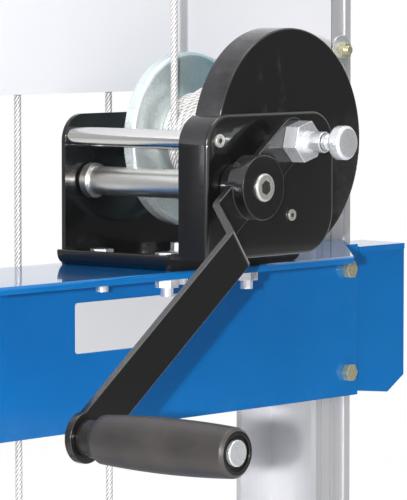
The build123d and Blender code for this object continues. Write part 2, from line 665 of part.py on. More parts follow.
# Winch frame and fixings, in the winch frame
def winch_frame():
    """Front pan, back plate and base tray of one bent frame."""
    outline = rounded(PAN_LEFT, PAN_RIGHT, PAN_LOW, PAN_TOP, (PAN_CORNER, PAN_CORNER, PAN_CORNER_LOW, 0))
    inner = rounded(PAN_LEFT + SHEET, PAN_RIGHT + 20, PAN_LOW - 20, PAN_TOP - SHEET,
                    (PAN_CORNER - SHEET, 0, 0, 0))
    flange = slab_y(outline - inner, 0, PAN_FLANGE)
    flange -= block(PAN_FLANGE_END, PAN_RIGHT + 1, -1, PAN_FLANGE + 1, PAN_LOW - 1, PAN_TOP + 1)
    back = rounded(BACK_LEFT, PAN_RIGHT, TRAY_BOTTOM, BACK_TOP, (BACK_CORNER, BACK_CORNER, 0, 0))
    frame = slab_y(outline, 0, SHEET) + flange + slab_y(back, BACK_PLATE_Y, BACK_PLATE_Y + SHEET)
    step_right = PAN_RIGHT - PAN_CORNER_LOW
    frame += block(PAN_LEFT, step_right, 0, TRAY_FRONT + SHEET, PAN_LOW, PAN_LOW + SHEET)
    frame += block(PAN_LEFT, step_right, TRAY_FRONT, TRAY_FRONT + SHEET, TRAY_BOTTOM, PAN_LOW + SHEET)
    tray = rounded(TRAY_LEFT, TRAY_RIGHT, TRAY_BOTTOM, TRAY_BOTTOM + TRAY_RIM_H, (1, 1, TRAY_BEND, TRAY_BEND))
    bend = TRAY_BEND - SHEET
    tray -= rounded(TRAY_LEFT + SHEET, TRAY_RIGHT - SHEET, TRAY_TOP, TRAY_TOP + 2 * TRAY_RIM_H, (0, 0, bend, bend))
    frame += slab_y(tray, TRAY_FRONT, TRAY_REAR)
    for x in MOUNT_X:
        for y in MOUNT_Y:
            frame -= rod_z(MOUNT_BOLT_D / 2 + FIT, TRAY_BOTTOM - 1, TRAY_TOP + 1, x, y)
    for y in (0, BACK_PLATE_Y):
        frame -= rod_y(AXLE_R + FIT, y, y + SHEET)
        frame -= rod_y(BUSH_R, y, y + SHEET, CRANK_X, CRANK_Z)
        frame -= rod_y(TIE_THREAD_R + FIT, y, y + SHEET, *TIE_AT)
    frame -= rod_y(LOCK_HOLE_R, 0, SHEET, LOCK_X, LOCK_Z)
    frame -= rod_y(RIVET_R / 2 + FIT, 0, SHEET, *RIVET_AT)
    return frame


def gear_cover():
    """Round pressed pan over the drum gear, cut away on the pinion's side."""
    front = SHEET
    pan = rod_y(COVER_R, front, front + COVER_DEPTH) - rod_y(COVER_R - COVER_T, front + COVER_T, front + COVER_DEPTH)
    edge = pan.edges().filter_by(GeomType.CIRCLE).sort_by(Axis.Y).group_by(Axis.Y)[0].sort_by(SortBy.RADIUS)[-1]
    pan = fillet(edge, COVER_T * 0.9)
    reach = COVER_R + 1
    pan -= block(-reach, COVER_CUT_X, front - 1, front + COVER_DEPTH + 1, -reach, COVER_CUT_Z)
    pan -= block(-reach, reach, front - 1, front + COVER_DEPTH + 1, -reach, PAN_LOW + SHEET + 2)
    pan -= rod_y(AXLE_R + 1, front - 1, front + COVER_T + 1)
    pan -= rod_y(LOCK_HOLE_R, front - 1, front + COVER_T + 1, LOCK_X, LOCK_Z)
    return pan - rod_y(RIVET_R / 2 + FIT, front - 1, front + COVER_T + 1, *RIVET_AT)


def cover_rivet():
    shank_end = SHEET + COVER_T
    return (rod_y(RIVET_R, -RIVET_H, 0, *RIVET_AT) + rod_y(RIVET_R / 2, 0, shank_end, *RIVET_AT)
            + rod_y(RIVET_R * 0.8, shank_end, shank_end + 1, *RIVET_AT))


def tie_rod():
    """Polished spacer rod between the plates."""
    rod = rod_y(TIE_R, SHEET, BACK_PLATE_Y, *TIE_AT)
    for y0, y1 in ((SHEET, SHEET + 12), (BACK_PLATE_Y - 12, BACK_PLATE_Y)):
        rod -= rod_y(TIE_THREAD_R + FIT, y0, y1, *TIE_AT)
    return rod


def tie_rod_screws():
    back = BACK_PLATE_Y + SHEET
    front_screw = rod_y(TIE_SCREW_R, -TIE_SCREW_H, 0, *TIE_AT) + rod_y(TIE_THREAD_R, 0, SHEET + 11, *TIE_AT)
    back_screw = (rod_y(TIE_SCREW_R, back, back + TIE_SCREW_H, *TIE_AT)
                  + rod_y(TIE_THREAD_R, BACK_PLATE_Y - 11, back, *TIE_AT))
    return [front_screw, back_screw]


def winch_bolts():
    """Bolts from the tray down through the shelf, washers included."""
    bolts = []
    for x in MOUNT_X:
        for y in MOUNT_Y:
            grip = SHEET + WASHER_T / 2 + BEAM_T + WASHER_T + MOUNT_NUT_H
            bolt = hex_bolt(MOUNT_BOLT_D, MOUNT_BOLT_AF, MOUNT_HEAD_H, grip, tail=MOUNT_TAIL)
            bolt += rod_z(MOUNT_WASHER_R, -WASHER_T / 2, 0)
            bolts.append(Pos(x, y, TRAY_TOP + WASHER_T / 2) * bolt)
    return bolts


def winch_nuts():
    nuts = []
    under = TRAY_BOTTOM - BEAM_T
    for x in MOUNT_X:
        for y in MOUNT_Y:
            nut = rod_z(MOUNT_WASHER_R, under - WASHER_T, under)
            nut += slab_z(hexagon(MOUNT_BOLT_AF), under - WASHER_T - MOUNT_NUT_H, under - WASHER_T)
            nuts.append(Pos(x, y) * (nut - rod_z(MOUNT_BOLT_D / 2 + FIT, under - 20, under)))
    return nuts


# Gear train
def involute(t):
    return tan(t) - t


def gear_face(teeth, shift):
    """Involute outline of a spur gear, one tooth centred on the X axis."""
    pitch_r = MODULE * teeth / 2
    base_r = pitch_r * cos(radians(PRESSURE))
    tip_r = pitch_r + MODULE * (1 + shift)
    root_r = pitch_r - MODULE * (1.25 - shift)
    thick = MODULE * (pi / 2 + 2 * shift * tan(radians(PRESSURE))) - BACKLASH
    half = thick / (2 * pitch_r) + involute(radians(PRESSURE))
    start = max(base_r, root_r + 0.2)
    flank = []
    for step in range(4):
        r = start + (tip_r - start) * step / 3
        roll = sqrt(max(0, (r / base_r) ** 2 - 1))
        flank.append((r, half - (roll - atan2(roll, 1))))
    outline = []
    for tooth in range(teeth):
        middle = 2 * pi * tooth / teeth
        rise = [(root_r, -flank[0][1])] + [(r, -a) for r, a in flank]
        fall = [(r, a) for r, a in reversed(flank)] + [(root_r, flank[0][1])]
        outline += [(r * cos(middle + a), r * sin(middle + a)) for r, a in rise + fall]
    return polygon(*outline)


def drum_gear():
    """Large gear on the drum, with a tooth gap facing the pinion and three round windows in its web."""
    turn = CRANK_BEARING + 180 / GEAR_TEETH
    wheel = slab_y(Rot(0, 0, turn) * gear_face(GEAR_TEETH, -SHIFT), GEAR_FRONT, GEAR_BACK)
    for i in range(3):
        angle = radians(120 * i + 30)
        wheel -= rod_y(9, GEAR_FRONT, GEAR_BACK, 32 * cos(angle), 32 * sin(angle))
    wheel += rod_y(GEAR_HUB_R, SHEET + COVER_T + RUN_GAP, DRUM_FRONT - DRUM_FLANGE_T)
    return wheel - rod_y(AXLE_R + FIT, 0, DRUM_FRONT)


def crank_shaft():
    """Shaft with its pinion, long sleeve and collar in one turned piece."""
    rear = BACK_PLATE_Y + SHEET + 2
    shaft = rod_y(SHAFT_R, HUB_FRONT, rear, CRANK_X, CRANK_Z)
    sleeve_end = BACK_PLATE_Y - BUSH_FLANGE_T - RUN_GAP
    shaft += rod_y(SLEEVE_R, GEAR_BACK, sleeve_end, CRANK_X, CRANK_Z)
    shaft += rod_y(COLLAR_R, sleeve_end - COLLAR_T, sleeve_end, CRANK_X, CRANK_Z)
    teeth = Pos(CRANK_X, CRANK_Z) * Rot(0, 0, CRANK_BEARING + 180) * gear_face(PINION_TEETH, SHIFT)
    return shaft + slab_y(teeth, GEAR_FRONT - PINION_LAP, GEAR_BACK + PINION_LAP)


def shaft_bushes():
    """Flanged plain bushes for the crank shaft, pressed into both plates from inside."""
    bushes = []
    for plate, flange in ((0, (SHEET, SHEET + BUSH_FLANGE_T)),
                          (BACK_PLATE_Y, (BACK_PLATE_Y - BUSH_FLANGE_T, BACK_PLATE_Y))):
        bush = rod_y(BUSH_R, plate, plate + SHEET, CRANK_X, CRANK_Z)
        bush += rod_y(BUSH_FLANGE_R, *flange, CRANK_X, CRANK_Z)
        bushes.append(bush - rod_y(SHAFT_R + FIT, -5, BACK_PLATE_Y + 10, CRANK_X, CRANK_Z))
    return bushes


# Drum and cable winding
def drum_axle():
    back = BACK_PLATE_Y + SHEET
    axle = rod_y(AXLE_R, 0, back + AXLE_NUT_H)
    axle += rod_y(AXLE_HEAD_R, -AXLE_HEAD_H, 0)
    return axle + slab_y(hexagon(2 * AXLE_HEAD_R), back, back + AXLE_NUT_H)


def cable_drum():
    """Pressed steel drum: core tube, two flanges, the rear one with its rim turned back, and a hub behind."""
    front, back = DRUM_FRONT, DRUM_BACK
    drum = rod_y(DRUM_FRONT_R, front - DRUM_FLANGE_T, front) + rod_y(DRUM_CORE_R, front, back)
    rim = rod_y(DRUM_BACK_R, back, back + DRUM_LIP)
    edge = rim.edges().filter_by(GeomType.CIRCLE).sort_by(Axis.Y)[0]
    rim = fillet(edge, DRUM_FLANGE_T)
    drum += rim - rod_y(DRUM_BACK_R - DRUM_FLANGE_T, back + DRUM_FLANGE_T, back + DRUM_LIP)
    drum += rod_y(DRUM_HUB_R, back + DRUM_FLANGE_T, BACK_PLATE_Y - RUN_GAP)
    return drum - rod_y(AXLE_R + FIT, 0, BACK_PLATE_Y)


def cable_winding():
    """Cable laid side by side on the drum: full top layer, one layer fewer behind the leaving turn."""
    wraps = int((DRUM_BACK - DRUM_FRONT - 2 * RUN_GAP) / CABLE_D)
    start = FIRST_WRAP_Y - CABLE_R
    with BuildSketch(Plane.XY) as profile:
        with BuildLine():
            corner = (DRUM_CORE_R, start)
            first = (PACK_R, start)
            Line(corner, first)
            here = first
            for i in range(wraps):
                level = PACK_R if i < FULL_WRAPS else PACK_R - CABLE_D
                y = start + i * CABLE_D
                if here != (level, y):
                    Line(here, (level, y))
                here = (level, y + CABLE_D)
                ThreePointArc((level, y), (level + CABLE_R, y + CABLE_R), here)
            Line(here, (DRUM_CORE_R, here[1]))
            Line((DRUM_CORE_R, here[1]), corner)
        make_face()
    return revolve(profile.sketch, Axis.Y)


# Crank, plunger and grip
CRANK_PLACE = Pos(CRANK_X, 0, CRANK_Z) * Rot(0, -CRANK_DIRECTION, 0)


def crank_arm():
    """One flat bar: short tail, hub disc, forward joggle and the long arm. Drawn along X, then turned."""
    mid = CRANK_BACK - CRANK_BAR_T / 2
    far = mid - CRANK_OFFSET
    tail_end = -TAIL_LENGTH - CRANK_BAR_W / 2
    arm_end = CRANK_LENGTH + CRANK_END_R
    route = FilletPolyline((tail_end, mid), (BEND_FROM, mid), (BEND_TO, far), (arm_end, far), radius=CRANK_BAR_T)
    bar = slab_z(trace(route, CRANK_BAR_T), -CRANK_END_R, CRANK_END_R)
    half = CRANK_BAR_W / 2
    plan = (Pos((CRANK_LENGTH - TAIL_LENGTH) / 2, 0) * Rectangle(CRANK_LENGTH + TAIL_LENGTH, CRANK_BAR_W)
            + Pos(-TAIL_LENGTH, 0) * Circle(half) + Pos(CRANK_LENGTH, 0) * Circle(CRANK_END_R))
    bar = bar & slab_y(plan, far - CRANK_BAR_T, mid + CRANK_BAR_T)
    bar += rod_y(HUB_R, HUB_FRONT, CRANK_BACK)
    bar += rod_y(HUB_R * 0.7, CRANK_BACK, -RUN_GAP)
    bar -= rod_y(SHAFT_R, HUB_FRONT, 0)
    bar -= rod_y(PLUNGER_THREAD_R, CRANK_FRONT, CRANK_BACK, -TAIL_LENGTH, TAIL_SHIFT)
    bar -= rod_y(GRIP_PIN_R, ARM_FRONT, ARM_FRONT + CRANK_BAR_T, CRANK_LENGTH, 0)
    return CRANK_PLACE * bar


def hub_screw():
    """Round-headed screw with a hexagon socket in the shaft's end."""
    head = rod_y(HUB_SCREW_R, HUB_FRONT - HUB_SCREW_H, HUB_FRONT)
    edge = head.edges().filter_by(GeomType.CIRCLE).sort_by(Axis.Y)[0]
    head = fillet(edge, 1.5)
    head -= slab_y(hexagon(HUB_SOCKET_AF), HUB_FRONT - HUB_SCREW_H, HUB_FRONT - 0.4)
    return CRANK_PLACE * head


def plunger_body():
    """Hexagon housing of the lock plunger, screwed into the crank's tail, with its spring sleeve."""
    face = CRANK_FRONT
    front = face - PLUNGER_HEX_H - PLUNGER_SLEEVE_H
    body = slab_y(hexagon(PLUNGER_AF, PLUNGER_HEX_TURN), face - PLUNGER_HEX_H, face)
    body += rod_y(PLUNGER_THREAD_R, face, CRANK_BACK)
    body += rod_y(PLUNGER_SLEEVE_R, front, face - PLUNGER_HEX_H)
    body -= rod_y(PLUNGER_PIN_R + FIT, front, CRANK_BACK)
    body -= rod_y(PLUNGER_NECK_R + FIT, front, front + PLUNGER_TRAVEL + 1)
    return CRANK_PLACE * Pos(-TAIL_LENGTH, 0, TAIL_SHIFT) * body


def plunger_pin():
    """Pull knob, grooved neck and lock pin."""
    neck = CRANK_FRONT - PLUNGER_HEX_H - PLUNGER_SLEEVE_H
    knob = neck - PLUNGER_NECK_H
    end = knob - PLUNGER_KNOB_H
    groove = PLUNGER_NECK_R * 0.8
    gap = RUN_GAP
    return CRANK_PLACE * turned_y(
        [(0, end), (PLUNGER_KNOB_R - 1.5, end), (PLUNGER_KNOB_R, end + 1.5), (PLUNGER_KNOB_R, knob - 1),
         (PLUNGER_KNOB_R - 1, knob), (PLUNGER_NECK_R, knob), (PLUNGER_NECK_R, knob + 3), (groove, knob + 3.6),
         (groove, knob + 5.4), (PLUNGER_NECK_R, knob + 6), (PLUNGER_NECK_R, neck - gap),
         (PLUNGER_PIN_R, neck - gap), (PLUNGER_PIN_R, -PLUNGER_TIP_GAP - 1),
         (PLUNGER_PIN_R - 1, -PLUNGER_TIP_GAP), (0, -PLUNGER_TIP_GAP)], -TAIL_LENGTH, TAIL_SHIFT)


def grip_pin():
    """Riveted pin that carries the turning grip."""
    pin = rod_y(GRIP_PIN_R, GRIP_END + GRIP_RECESS_D - GRIP_HEAD_H - RUN_GAP, ARM_FRONT + CRANK_BAR_T,
                CRANK_LENGTH, 0)
    head = GRIP_END + GRIP_RECESS_D - RUN_GAP
    pin += rod_y(GRIP_HEAD_R, head - GRIP_HEAD_H, head, CRANK_LENGTH, 0)
    pin += rod_y(GRIP_PIN_R + 2.5, ARM_FRONT + CRANK_BAR_T, ARM_FRONT + CRANK_BAR_T + 2.5, CRANK_LENGTH, 0)
    return CRANK_PLACE * pin


def crank_grip():
    """Barrel grip that spins on its pin: narrow neck at the arm, full belly, recessed end."""
    bore = GRIP_PIN_R + FIT
    neck = GRIP_START - GRIP_NECK_L
    belly = GRIP_START - 0.55 * GRIP_LENGTH
    with BuildSketch(Plane.XY) as profile:
        with BuildLine():
            full = neck - GRIP_SHOULDER
            Polyline((bore, GRIP_START), (GRIP_NECK_R, GRIP_START), (GRIP_NECK_R, neck), (GRIP_START_R, full))
            ThreePointArc((GRIP_START_R, full), (GRIP_BELLY_R, belly), (GRIP_END_R, GRIP_END + 2))
            Polyline((GRIP_END_R, GRIP_END + 2), (GRIP_END_R - 2, GRIP_END), (GRIP_RECESS_R, GRIP_END),
                     (GRIP_RECESS_R, GRIP_END + GRIP_RECESS_D), (bore, GRIP_END + GRIP_RECESS_D), (bore, GRIP_START))
        make_face()
    return CRANK_PLACE * Pos(CRANK_LENGTH, 0, 0) * revolve(profile.sketch, Axis.Y)


# Head and cable
def head_beam():
    """Folded channel over the rail tops, open below, with holes for the cable and its anchor."""
    z0 = HEAD_TOP - HEAD_SKIRT
    beam = block(-RAIL_OUTER_X, RAIL_OUTER_X, MAST_FACE_Y - HEAD_T, MAST_BACK_Y + HEAD_T, z0, HEAD_TOP)
    beam -= block(-RAIL_OUTER_X, RAIL_OUTER_X, MAST_FACE_Y, MAST_BACK_Y, z0, RAIL_TOP)
    beam -= rod_z(CABLE_D * 1.5, RAIL_TOP, HEAD_TOP, RUN_HALF, LIFT_Y)
    beam -= rod_z(BOLT_D / 2 + FIT, RAIL_TOP, HEAD_TOP, -RUN_HALF, LIFT_Y)
    for x, y in head_bolt_places():
        beam -= rod_z(BOLT_D / 2 + FIT, RAIL_TOP, HEAD_TOP, x, y)
    for x in (-RAIL_X, RAIL_X):
        beam -= rod_y(BOLT_D / 2 + FIT, MAST_FACE_Y - HEAD_T, MAST_FACE_Y, x, HEAD_TOP - HEAD_SKIRT / 2)
    return beam


HEAD_PLACE = Pos(HEAD_X, HEAD_Y, 0) * Rot(0, 0, HEAD_TURN)
HEAD_BASE_FROM = (MAST_FACE_Y - HEAD_Y) / sin(radians(HEAD_TURN)) + 10


def head_bolt_places():
    """Bolts that hold the sheave bracket on the head beam, as X and Y in the truck frame."""
    along = HEAD_BASE_FROM + HEAD_BASE_LONG / 2
    c, s = cos(radians(HEAD_TURN)), sin(radians(HEAD_TURN))
    return [(HEAD_X + along * c - out * s, HEAD_Y + along * s + out * c) for out in (-HEAD_BOLT_OUT, HEAD_BOLT_OUT)]


def sheave_bracket():
    """Two cheek plates on a base plate, set askew so that the sheave leads from drum to mast."""
    base_top = HEAD_TOP + HEAD_BASE_T
    u0, u1 = HEAD_BASE_FROM, HEAD_BASE_FROM + HEAD_BASE_LONG
    base = block(u0, u1, -HEAD_BASE_HALF, HEAD_BASE_HALF, HEAD_TOP, base_top)
    foot = Pos((u0 + u1) / 2, base_top + 6) * Rectangle(u1 - u0, 12)
    eye = Pos(0, HEAD_AXLE_Z) * Circle(2 * SHEAVE_AXLE_R)
    cheek = make_hull((foot + eye).edges()) - Pos(0, HEAD_AXLE_Z) * Circle(SHEAVE_AXLE_R + FIT)
    n0 = SHEAVE_W / 2 + CHEEK_GAP
    solid = base + slab_y(cheek, n0, n0 + CHEEK_T) + slab_y(cheek, -n0 - CHEEK_T, -n0)
    solid -= rod_z(CABLE_D * 1.5, HEAD_TOP - 1, base_top + 1, HEAD_R, 0)
    along = (u0 + u1) / 2
    for out in (-HEAD_BOLT_OUT, HEAD_BOLT_OUT):
        solid -= rod_z(BOLT_D / 2 + FIT, HEAD_TOP - 1, base_top + 1, along, out)
    return HEAD_PLACE * solid


def head_bolts():
    """Bolts of the sheave bracket and of the head beam on the rails."""
    base_top = HEAD_TOP + HEAD_BASE_T
    bolt = hex_bolt(BOLT_D, BOLT_AF, BOLT_HEAD_H, HEAD_BASE_T + HEAD_T, nut=NUT_H)
    bolts = [Pos(x, y, base_top) * bolt for x, y in head_bolt_places()]
    side = hex_bolt(BOLT_D, BOLT_AF, BOLT_HEAD_H, HEAD_T + RAIL_WALL, nut=NUT_H)
    for x in (-RAIL_X, RAIL_X):
        bolts.append(Pos(x, MAST_FACE_Y - HEAD_T, HEAD_TOP - HEAD_SKIRT / 2) * Rot(90, 0, 0) * side)
    return bolts


def head_axle():
    half = SHEAVE_W / 2 + CHEEK_GAP + CHEEK_T
    pin = rod_y(SHEAVE_AXLE_R, -half - 5, half, 0, HEAD_AXLE_Z)
    pin += rod_y(SHEAVE_AXLE_R + 3, half, half + 4, 0, HEAD_AXLE_Z)
    return HEAD_PLACE * pin


def head_sheave():
    return HEAD_PLACE * Pos(0, 0, HEAD_AXLE_Z) * Rot(90, 0, 0) * sheave(HEAD_R)


def cable_front_run():
    """Cable from the drum up to the head, over the sheave and down into the mast."""
    x, y = FRONT_RUN
    up = Line((x, y, DRUM_Z), (x, y, HEAD_AXLE_Z))
    over = ThreePointArc((x, y, HEAD_AXLE_Z), (HEAD_X, HEAD_Y, HEAD_AXLE_Z + HEAD_R),
                         (RUN_HALF, LIFT_Y, HEAD_AXLE_Z))
    down = Line((RUN_HALF, LIFT_Y, HEAD_AXLE_Z), (RUN_HALF, LIFT_Y, LIFT_RUN_TOP))
    return sweep(Pos(x, y, DRUM_Z) * Circle(CABLE_R), Wire([up, over, down]))


def cable_anchor():
    """Threaded anchor under the head beam: nut on top, ferrule that grips the end of the cable."""
    low = RAIL_TOP - ANCHOR_LONG
    anchor = rod_z(BOLT_D / 2, RAIL_TOP, HEAD_TOP + NUT_H + 3, -RUN_HALF, LIFT_Y)
    anchor += rod_z(ANCHOR_R, low, RAIL_TOP, -RUN_HALF, LIFT_Y)
    anchor += Pos(-RUN_HALF, LIFT_Y) * slab_z(hexagon(BOLT_AF), HEAD_TOP, HEAD_TOP + NUT_H)
    return anchor - rod_z(CABLE_R + FIT, low, low + ANCHOR_GRIP, -RUN_HALF, LIFT_Y)


def cable_runs():
    """The two runs between head and carriage, which shorten as the carriage rises."""
    low_anchor = RAIL_TOP - ANCHOR_LONG
    return [rod_z(CABLE_R, LOOP_Z, LIFT_RUN_TOP, RUN_HALF, LIFT_Y),
            rod_z(CABLE_R, LOOP_Z, low_anchor + ANCHOR_GRIP, -RUN_HALF, LIFT_Y)]


def cable_loop():
    """The half turn under the carriage sheave."""
    path = ThreePointArc((RUN_HALF, LIFT_Y, LOOP_Z), (0, LIFT_Y, LOOP_Z - RUN_HALF), (-RUN_HALF, LIFT_Y, LOOP_Z))
    return sweep(Pos(RUN_HALF, LIFT_Y, LOOP_Z) * Circle(CABLE_R), path)


# Carriage and forks
def carriage_frame():
    """Two side plates, two square bars and the clevis for the lift sheave, welded together."""
    side_x1 = RAIL_INNER_X - SIDE_GAP
    side_x0 = side_x1 - SIDE_T
    y0, y1 = BAR_FRONT_Y, BAR_FRONT_Y + BAR
    frame = None
    for z in (LOWER_BAR_Z, UPPER_BAR_Z):
        bar = block(-side_x0, side_x0, y0, y1, z, z + BAR)
        bar -= block(-side_x0, side_x0, y0 + BAR_WALL, y1 - BAR_WALL, z + BAR_WALL, z + BAR - BAR_WALL)
        frame = bar if frame is None else frame + bar
    side = block(side_x0, side_x1, y0, MAST_BACK_Y, SIDE_BOTTOM_Z, SIDE_BOTTOM_Z + SIDE_H)
    for solid in both(side):
        frame += solid
    n0 = SHEAVE_W / 2 + CHEEK_GAP
    foot = Pos(0, UPPER_BAR_TOP + CHEEK_T / 2) * Rectangle(2 * RUN_HALF, CHEEK_T)
    eye = Pos(0, LOOP_Z) * Circle(2 * SHEAVE_AXLE_R)
    cheek = make_hull((foot + eye).edges()) - Pos(0, LOOP_Z) * Circle(SHEAVE_AXLE_R + FIT)
    for edge in (LIFT_Y + n0, LIFT_Y - n0 - CHEEK_T):
        frame += slab_y(cheek, edge, edge + CHEEK_T)
    frame += block(-RUN_HALF, RUN_HALF, LIFT_Y - n0 - CHEEK_T, LIFT_Y + n0 + CHEEK_T, UPPER_BAR_TOP,
                   UPPER_BAR_TOP + CHEEK_T)
    for x in (-FORK_X, FORK_X):
        for z in (LOWER_BAR_Z, UPPER_BAR_Z):
            frame -= rod_y(FORK_BOLT_D / 2 + FIT, y0, y1, x, z + BAR / 2)
    return frame


def slide_blocks():
    """Plastic blocks on the side plates that run inside the mast channels."""
    x0 = RAIL_INNER_X - SIDE_GAP
    x1 = RAIL_OUTER_X - RAIL_WALL - 1
    y0, y1 = MAST_FACE_Y + RAIL_WALL + RUN_GAP, MAST_BACK_Y - RAIL_WALL - RUN_GAP
    blocks = []
    for z in (SIDE_BOTTOM_Z, SIDE_BOTTOM_Z + SIDE_H - BLOCK_H):
        solid = block(x0, x1, y0, y1, z, z + BLOCK_H)
        blocks += both(solid)
    return blocks


def carriage_axle():
    half = SHEAVE_W / 2 + CHEEK_GAP + CHEEK_T
    pin = rod_y(SHEAVE_AXLE_R, LIFT_Y - half, LIFT_Y + half + 5, 0, LOOP_Z)
    return pin + rod_y(SHEAVE_AXLE_R + 3, LIFT_Y + half, LIFT_Y + half + 4, 0, LOOP_Z)


def carriage_sheave():
    return Pos(0, LIFT_Y, LOOP_Z) * Rot(90, 0, 0) * sheave(RUN_HALF)


def fork():
    """Right fork: one bent bar, upright shank, rounded heel, level blade thinned below towards its tip."""
    y0 = BAR_FRONT_Y + BAR
    y1 = y0 + FORK_LENGTH
    z0, top = FORK_UNDERSIDE, FORK_UNDERSIDE + FORK_HEIGHT
    face = z0 + FORK_T
    side = polygon((y0, z0), (y0 + FORK_LENGTH / 2, z0), (y1, face - FORK_TIP_T), (y1, face), (y0 + FORK_T, face),
                   (y0 + FORK_T, top), (y0, top))
    side = fillet(side.vertices().sort_by_distance((y0, z0, 0))[0], FORK_HEEL_R)
    side = fillet(side.vertices().sort_by_distance((y0 + FORK_T, face, 0))[0], FORK_HEEL_R - FORK_T)
    bar = slab_x(side, FORK_X - FORK_W / 2, FORK_X + FORK_W / 2)
    tips = [edge for edge in bar.edges().filter_by(Axis.Z) if edge.center().Y > y1 - 1]
    bar = fillet(tips, FORK_TIP_R)
    for z in (LOWER_BAR_Z, UPPER_BAR_Z):
        bar -= rod_y(FORK_BOLT_D / 2 + FIT, y0, y0 + FORK_T, FORK_X, z + BAR / 2)
    return bar


def fork_bolts():
    bolts = []
    y = BAR_FRONT_Y + BAR + FORK_T
    for z in (LOWER_BAR_Z, UPPER_BAR_Z):
        bolt = hex_bolt(FORK_BOLT_D, FORK_BOLT_AF, FORK_BOLT_HEAD_H, FORK_T + BAR, nut=7)
        bolts += both(Pos(FORK_X, y, z + BAR / 2) * Rot(-90, 0, 0) * bolt)
    return bolts


# Push handle
def push_handle():
    """Bent tube behind the mast, welded to a plate on the outer side of each rail."""
    y_end = MAST_FACE_Y + RAIL_DEPTH / 2 + HANDLE_PLATE_L / 2
    path = FilletPolyline((HANDLE_X, y_end, HANDLE_Z), (HANDLE_X, HANDLE_Y, HANDLE_Z),
                          (-HANDLE_X, HANDLE_Y, HANDLE_Z), (-HANDLE_X, y_end, HANDLE_Z), radius=HANDLE_BEND)
    start = Plane(origin=(HANDLE_X, y_end, HANDLE_Z), z_dir=(0, -1, 0))
    tube = sweep(start * (Circle(HANDLE_R) - Circle(HANDLE_R - HANDLE_WALL)), path)
    plate = rounded(y_end - HANDLE_PLATE_L, y_end, HANDLE_Z - HANDLE_PLATE_H / 2, HANDLE_Z + HANDLE_PLATE_H / 2,
                    (6, 6, 6, 6))
    solid = slab_x(plate, RAIL_OUTER_X, RAIL_OUTER_X + HANDLE_PLATE_T)
    for z in handle_bolt_heights():
        solid -= rod_x(BOLT_D / 2 + FIT, RAIL_OUTER_X, RAIL_OUTER_X + HANDLE_PLATE_T, y_end - HANDLE_PLATE_L / 2, z)
    for side in both(solid):
        tube += side
    return tube


def handle_bolt_heights():
    inset = HANDLE_PLATE_H / 2 - 11
    return (HANDLE_Z - inset, HANDLE_Z + inset)


def handle_bolts():
    bolts = []
    y = MAST_FACE_Y + RAIL_DEPTH / 2
    for z in handle_bolt_heights():
        bolt = hex_bolt(BOLT_D, BOLT_AF, BOLT_HEAD_H, HANDLE_PLATE_T + RAIL_WALL - RUN_GAP)
        bolts += both(Pos(RAIL_OUTER_X + HANDLE_PLATE_T, y, z) * Rot(0, 90, 0) * bolt)
    return bolts


def frame_bolts():
    """Every like bolt that holds the frame together, as one group."""
    return foot_bolts() + brace_bolts() + beam_bolts() + head_bolts() + handle_bolts()


def handle_grips():
    half = HANDLE_GRIP_L / 2
    sleeve = rod_x(HANDLE_GRIP_R, HANDLE_GRIP_X - half, HANDLE_GRIP_X + half, HANDLE_Y, HANDLE_Z)
    sleeve = fillet(sleeve.edges().filter_by(GeomType.CIRCLE), 2)
    sleeve -= rod_x(HANDLE_R + FIT, HANDLE_GRIP_X - half, HANDLE_GRIP_X + half, HANDLE_Y, HANDLE_Z)
    return both(sleeve)


def save(name, solids):
    """Write one piece, or one group of like pieces, to its own file."""
    group = solids if isinstance(solids, list) else [solids]
    shapes = [solid for item in group for solid in item.solids()]
    export_step(shapes[0] if len(shapes) == 1 else Compound(children=shapes), f"parts/{name}.step")


TRUCK_PIECES = {
    "base_crossbar": base_crossbar, "mast_feet": mast_feet, "winch_beam": winch_beam, "guard_panel": guard_panel,
    "panel_screws": panel_screws, "slot_nuts": slot_nuts, "head_beam": head_beam, "sheave_bracket": sheave_bracket,
    "head_axle": head_axle, "head_sheave": head_sheave, "frame_bolts": frame_bolts,
    "cable_front_run": cable_front_run, "cable_anchor": cable_anchor, "cable_runs": cable_runs,
    "cable_loop": cable_loop, "carriage_frame": carriage_frame, "slide_blocks": slide_blocks,
    "carriage_axle": carriage_axle, "carriage_sheave": carriage_sheave, "fork_bolts": fork_bolts,
    "push_handle": push_handle, "handle_grips": handle_grips,
}
PAIRED_PIECES = {
    "leg": leg, "front_wheel": front_wheel, "caster_fork": caster_fork, "caster_wheel": caster_wheel,
    "mast_rail": mast_rail, "mast_brace": mast_brace, "beam_bracket": beam_bracket, "fork": fork,
}
GROUPED_PAIRS = {"front_axles": front_axle, "caster_plates": caster_plate}
WINCH_PIECES = {
    "winch_frame": winch_frame, "gear_cover": gear_cover, "cover_rivet": cover_rivet, "tie_rod": tie_rod,
    "tie_rod_screws": tie_rod_screws, "winch_bolts": winch_bolts, "winch_nuts": winch_nuts,
    "drum_gear": drum_gear, "crank_shaft": crank_shaft, "shaft_bushes": shaft_bushes, "drum_axle": drum_axle,
    "cable_drum": cable_drum, "cable_winding": cable_winding, "crank_arm": crank_arm, "hub_screw": hub_screw,
    "plunger_body": plunger_body, "plunger_pin": plunger_pin, "grip_pin": grip_pin, "crank_grip": crank_grip,
}

for name, make in TRUCK_PIECES.items():
    save(name, make())
for name, make in PAIRED_PIECES.items():
    right = make()
    save(f"{name}_right", right)
    save(f"{name}_left", mirrored(right))
for name, make in GROUPED_PAIRS.items():
    save(name, both(make()))
for name, make in WINCH_PIECES.items():
    made = make()
    group = made if isinstance(made, list) else [made]
    save(name, [WINCH * solid for solid in group])
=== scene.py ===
import json
from math import cos, hypot, pi, radians, sin

import bmesh
import bpy
from mathutils import Matrix, Vector


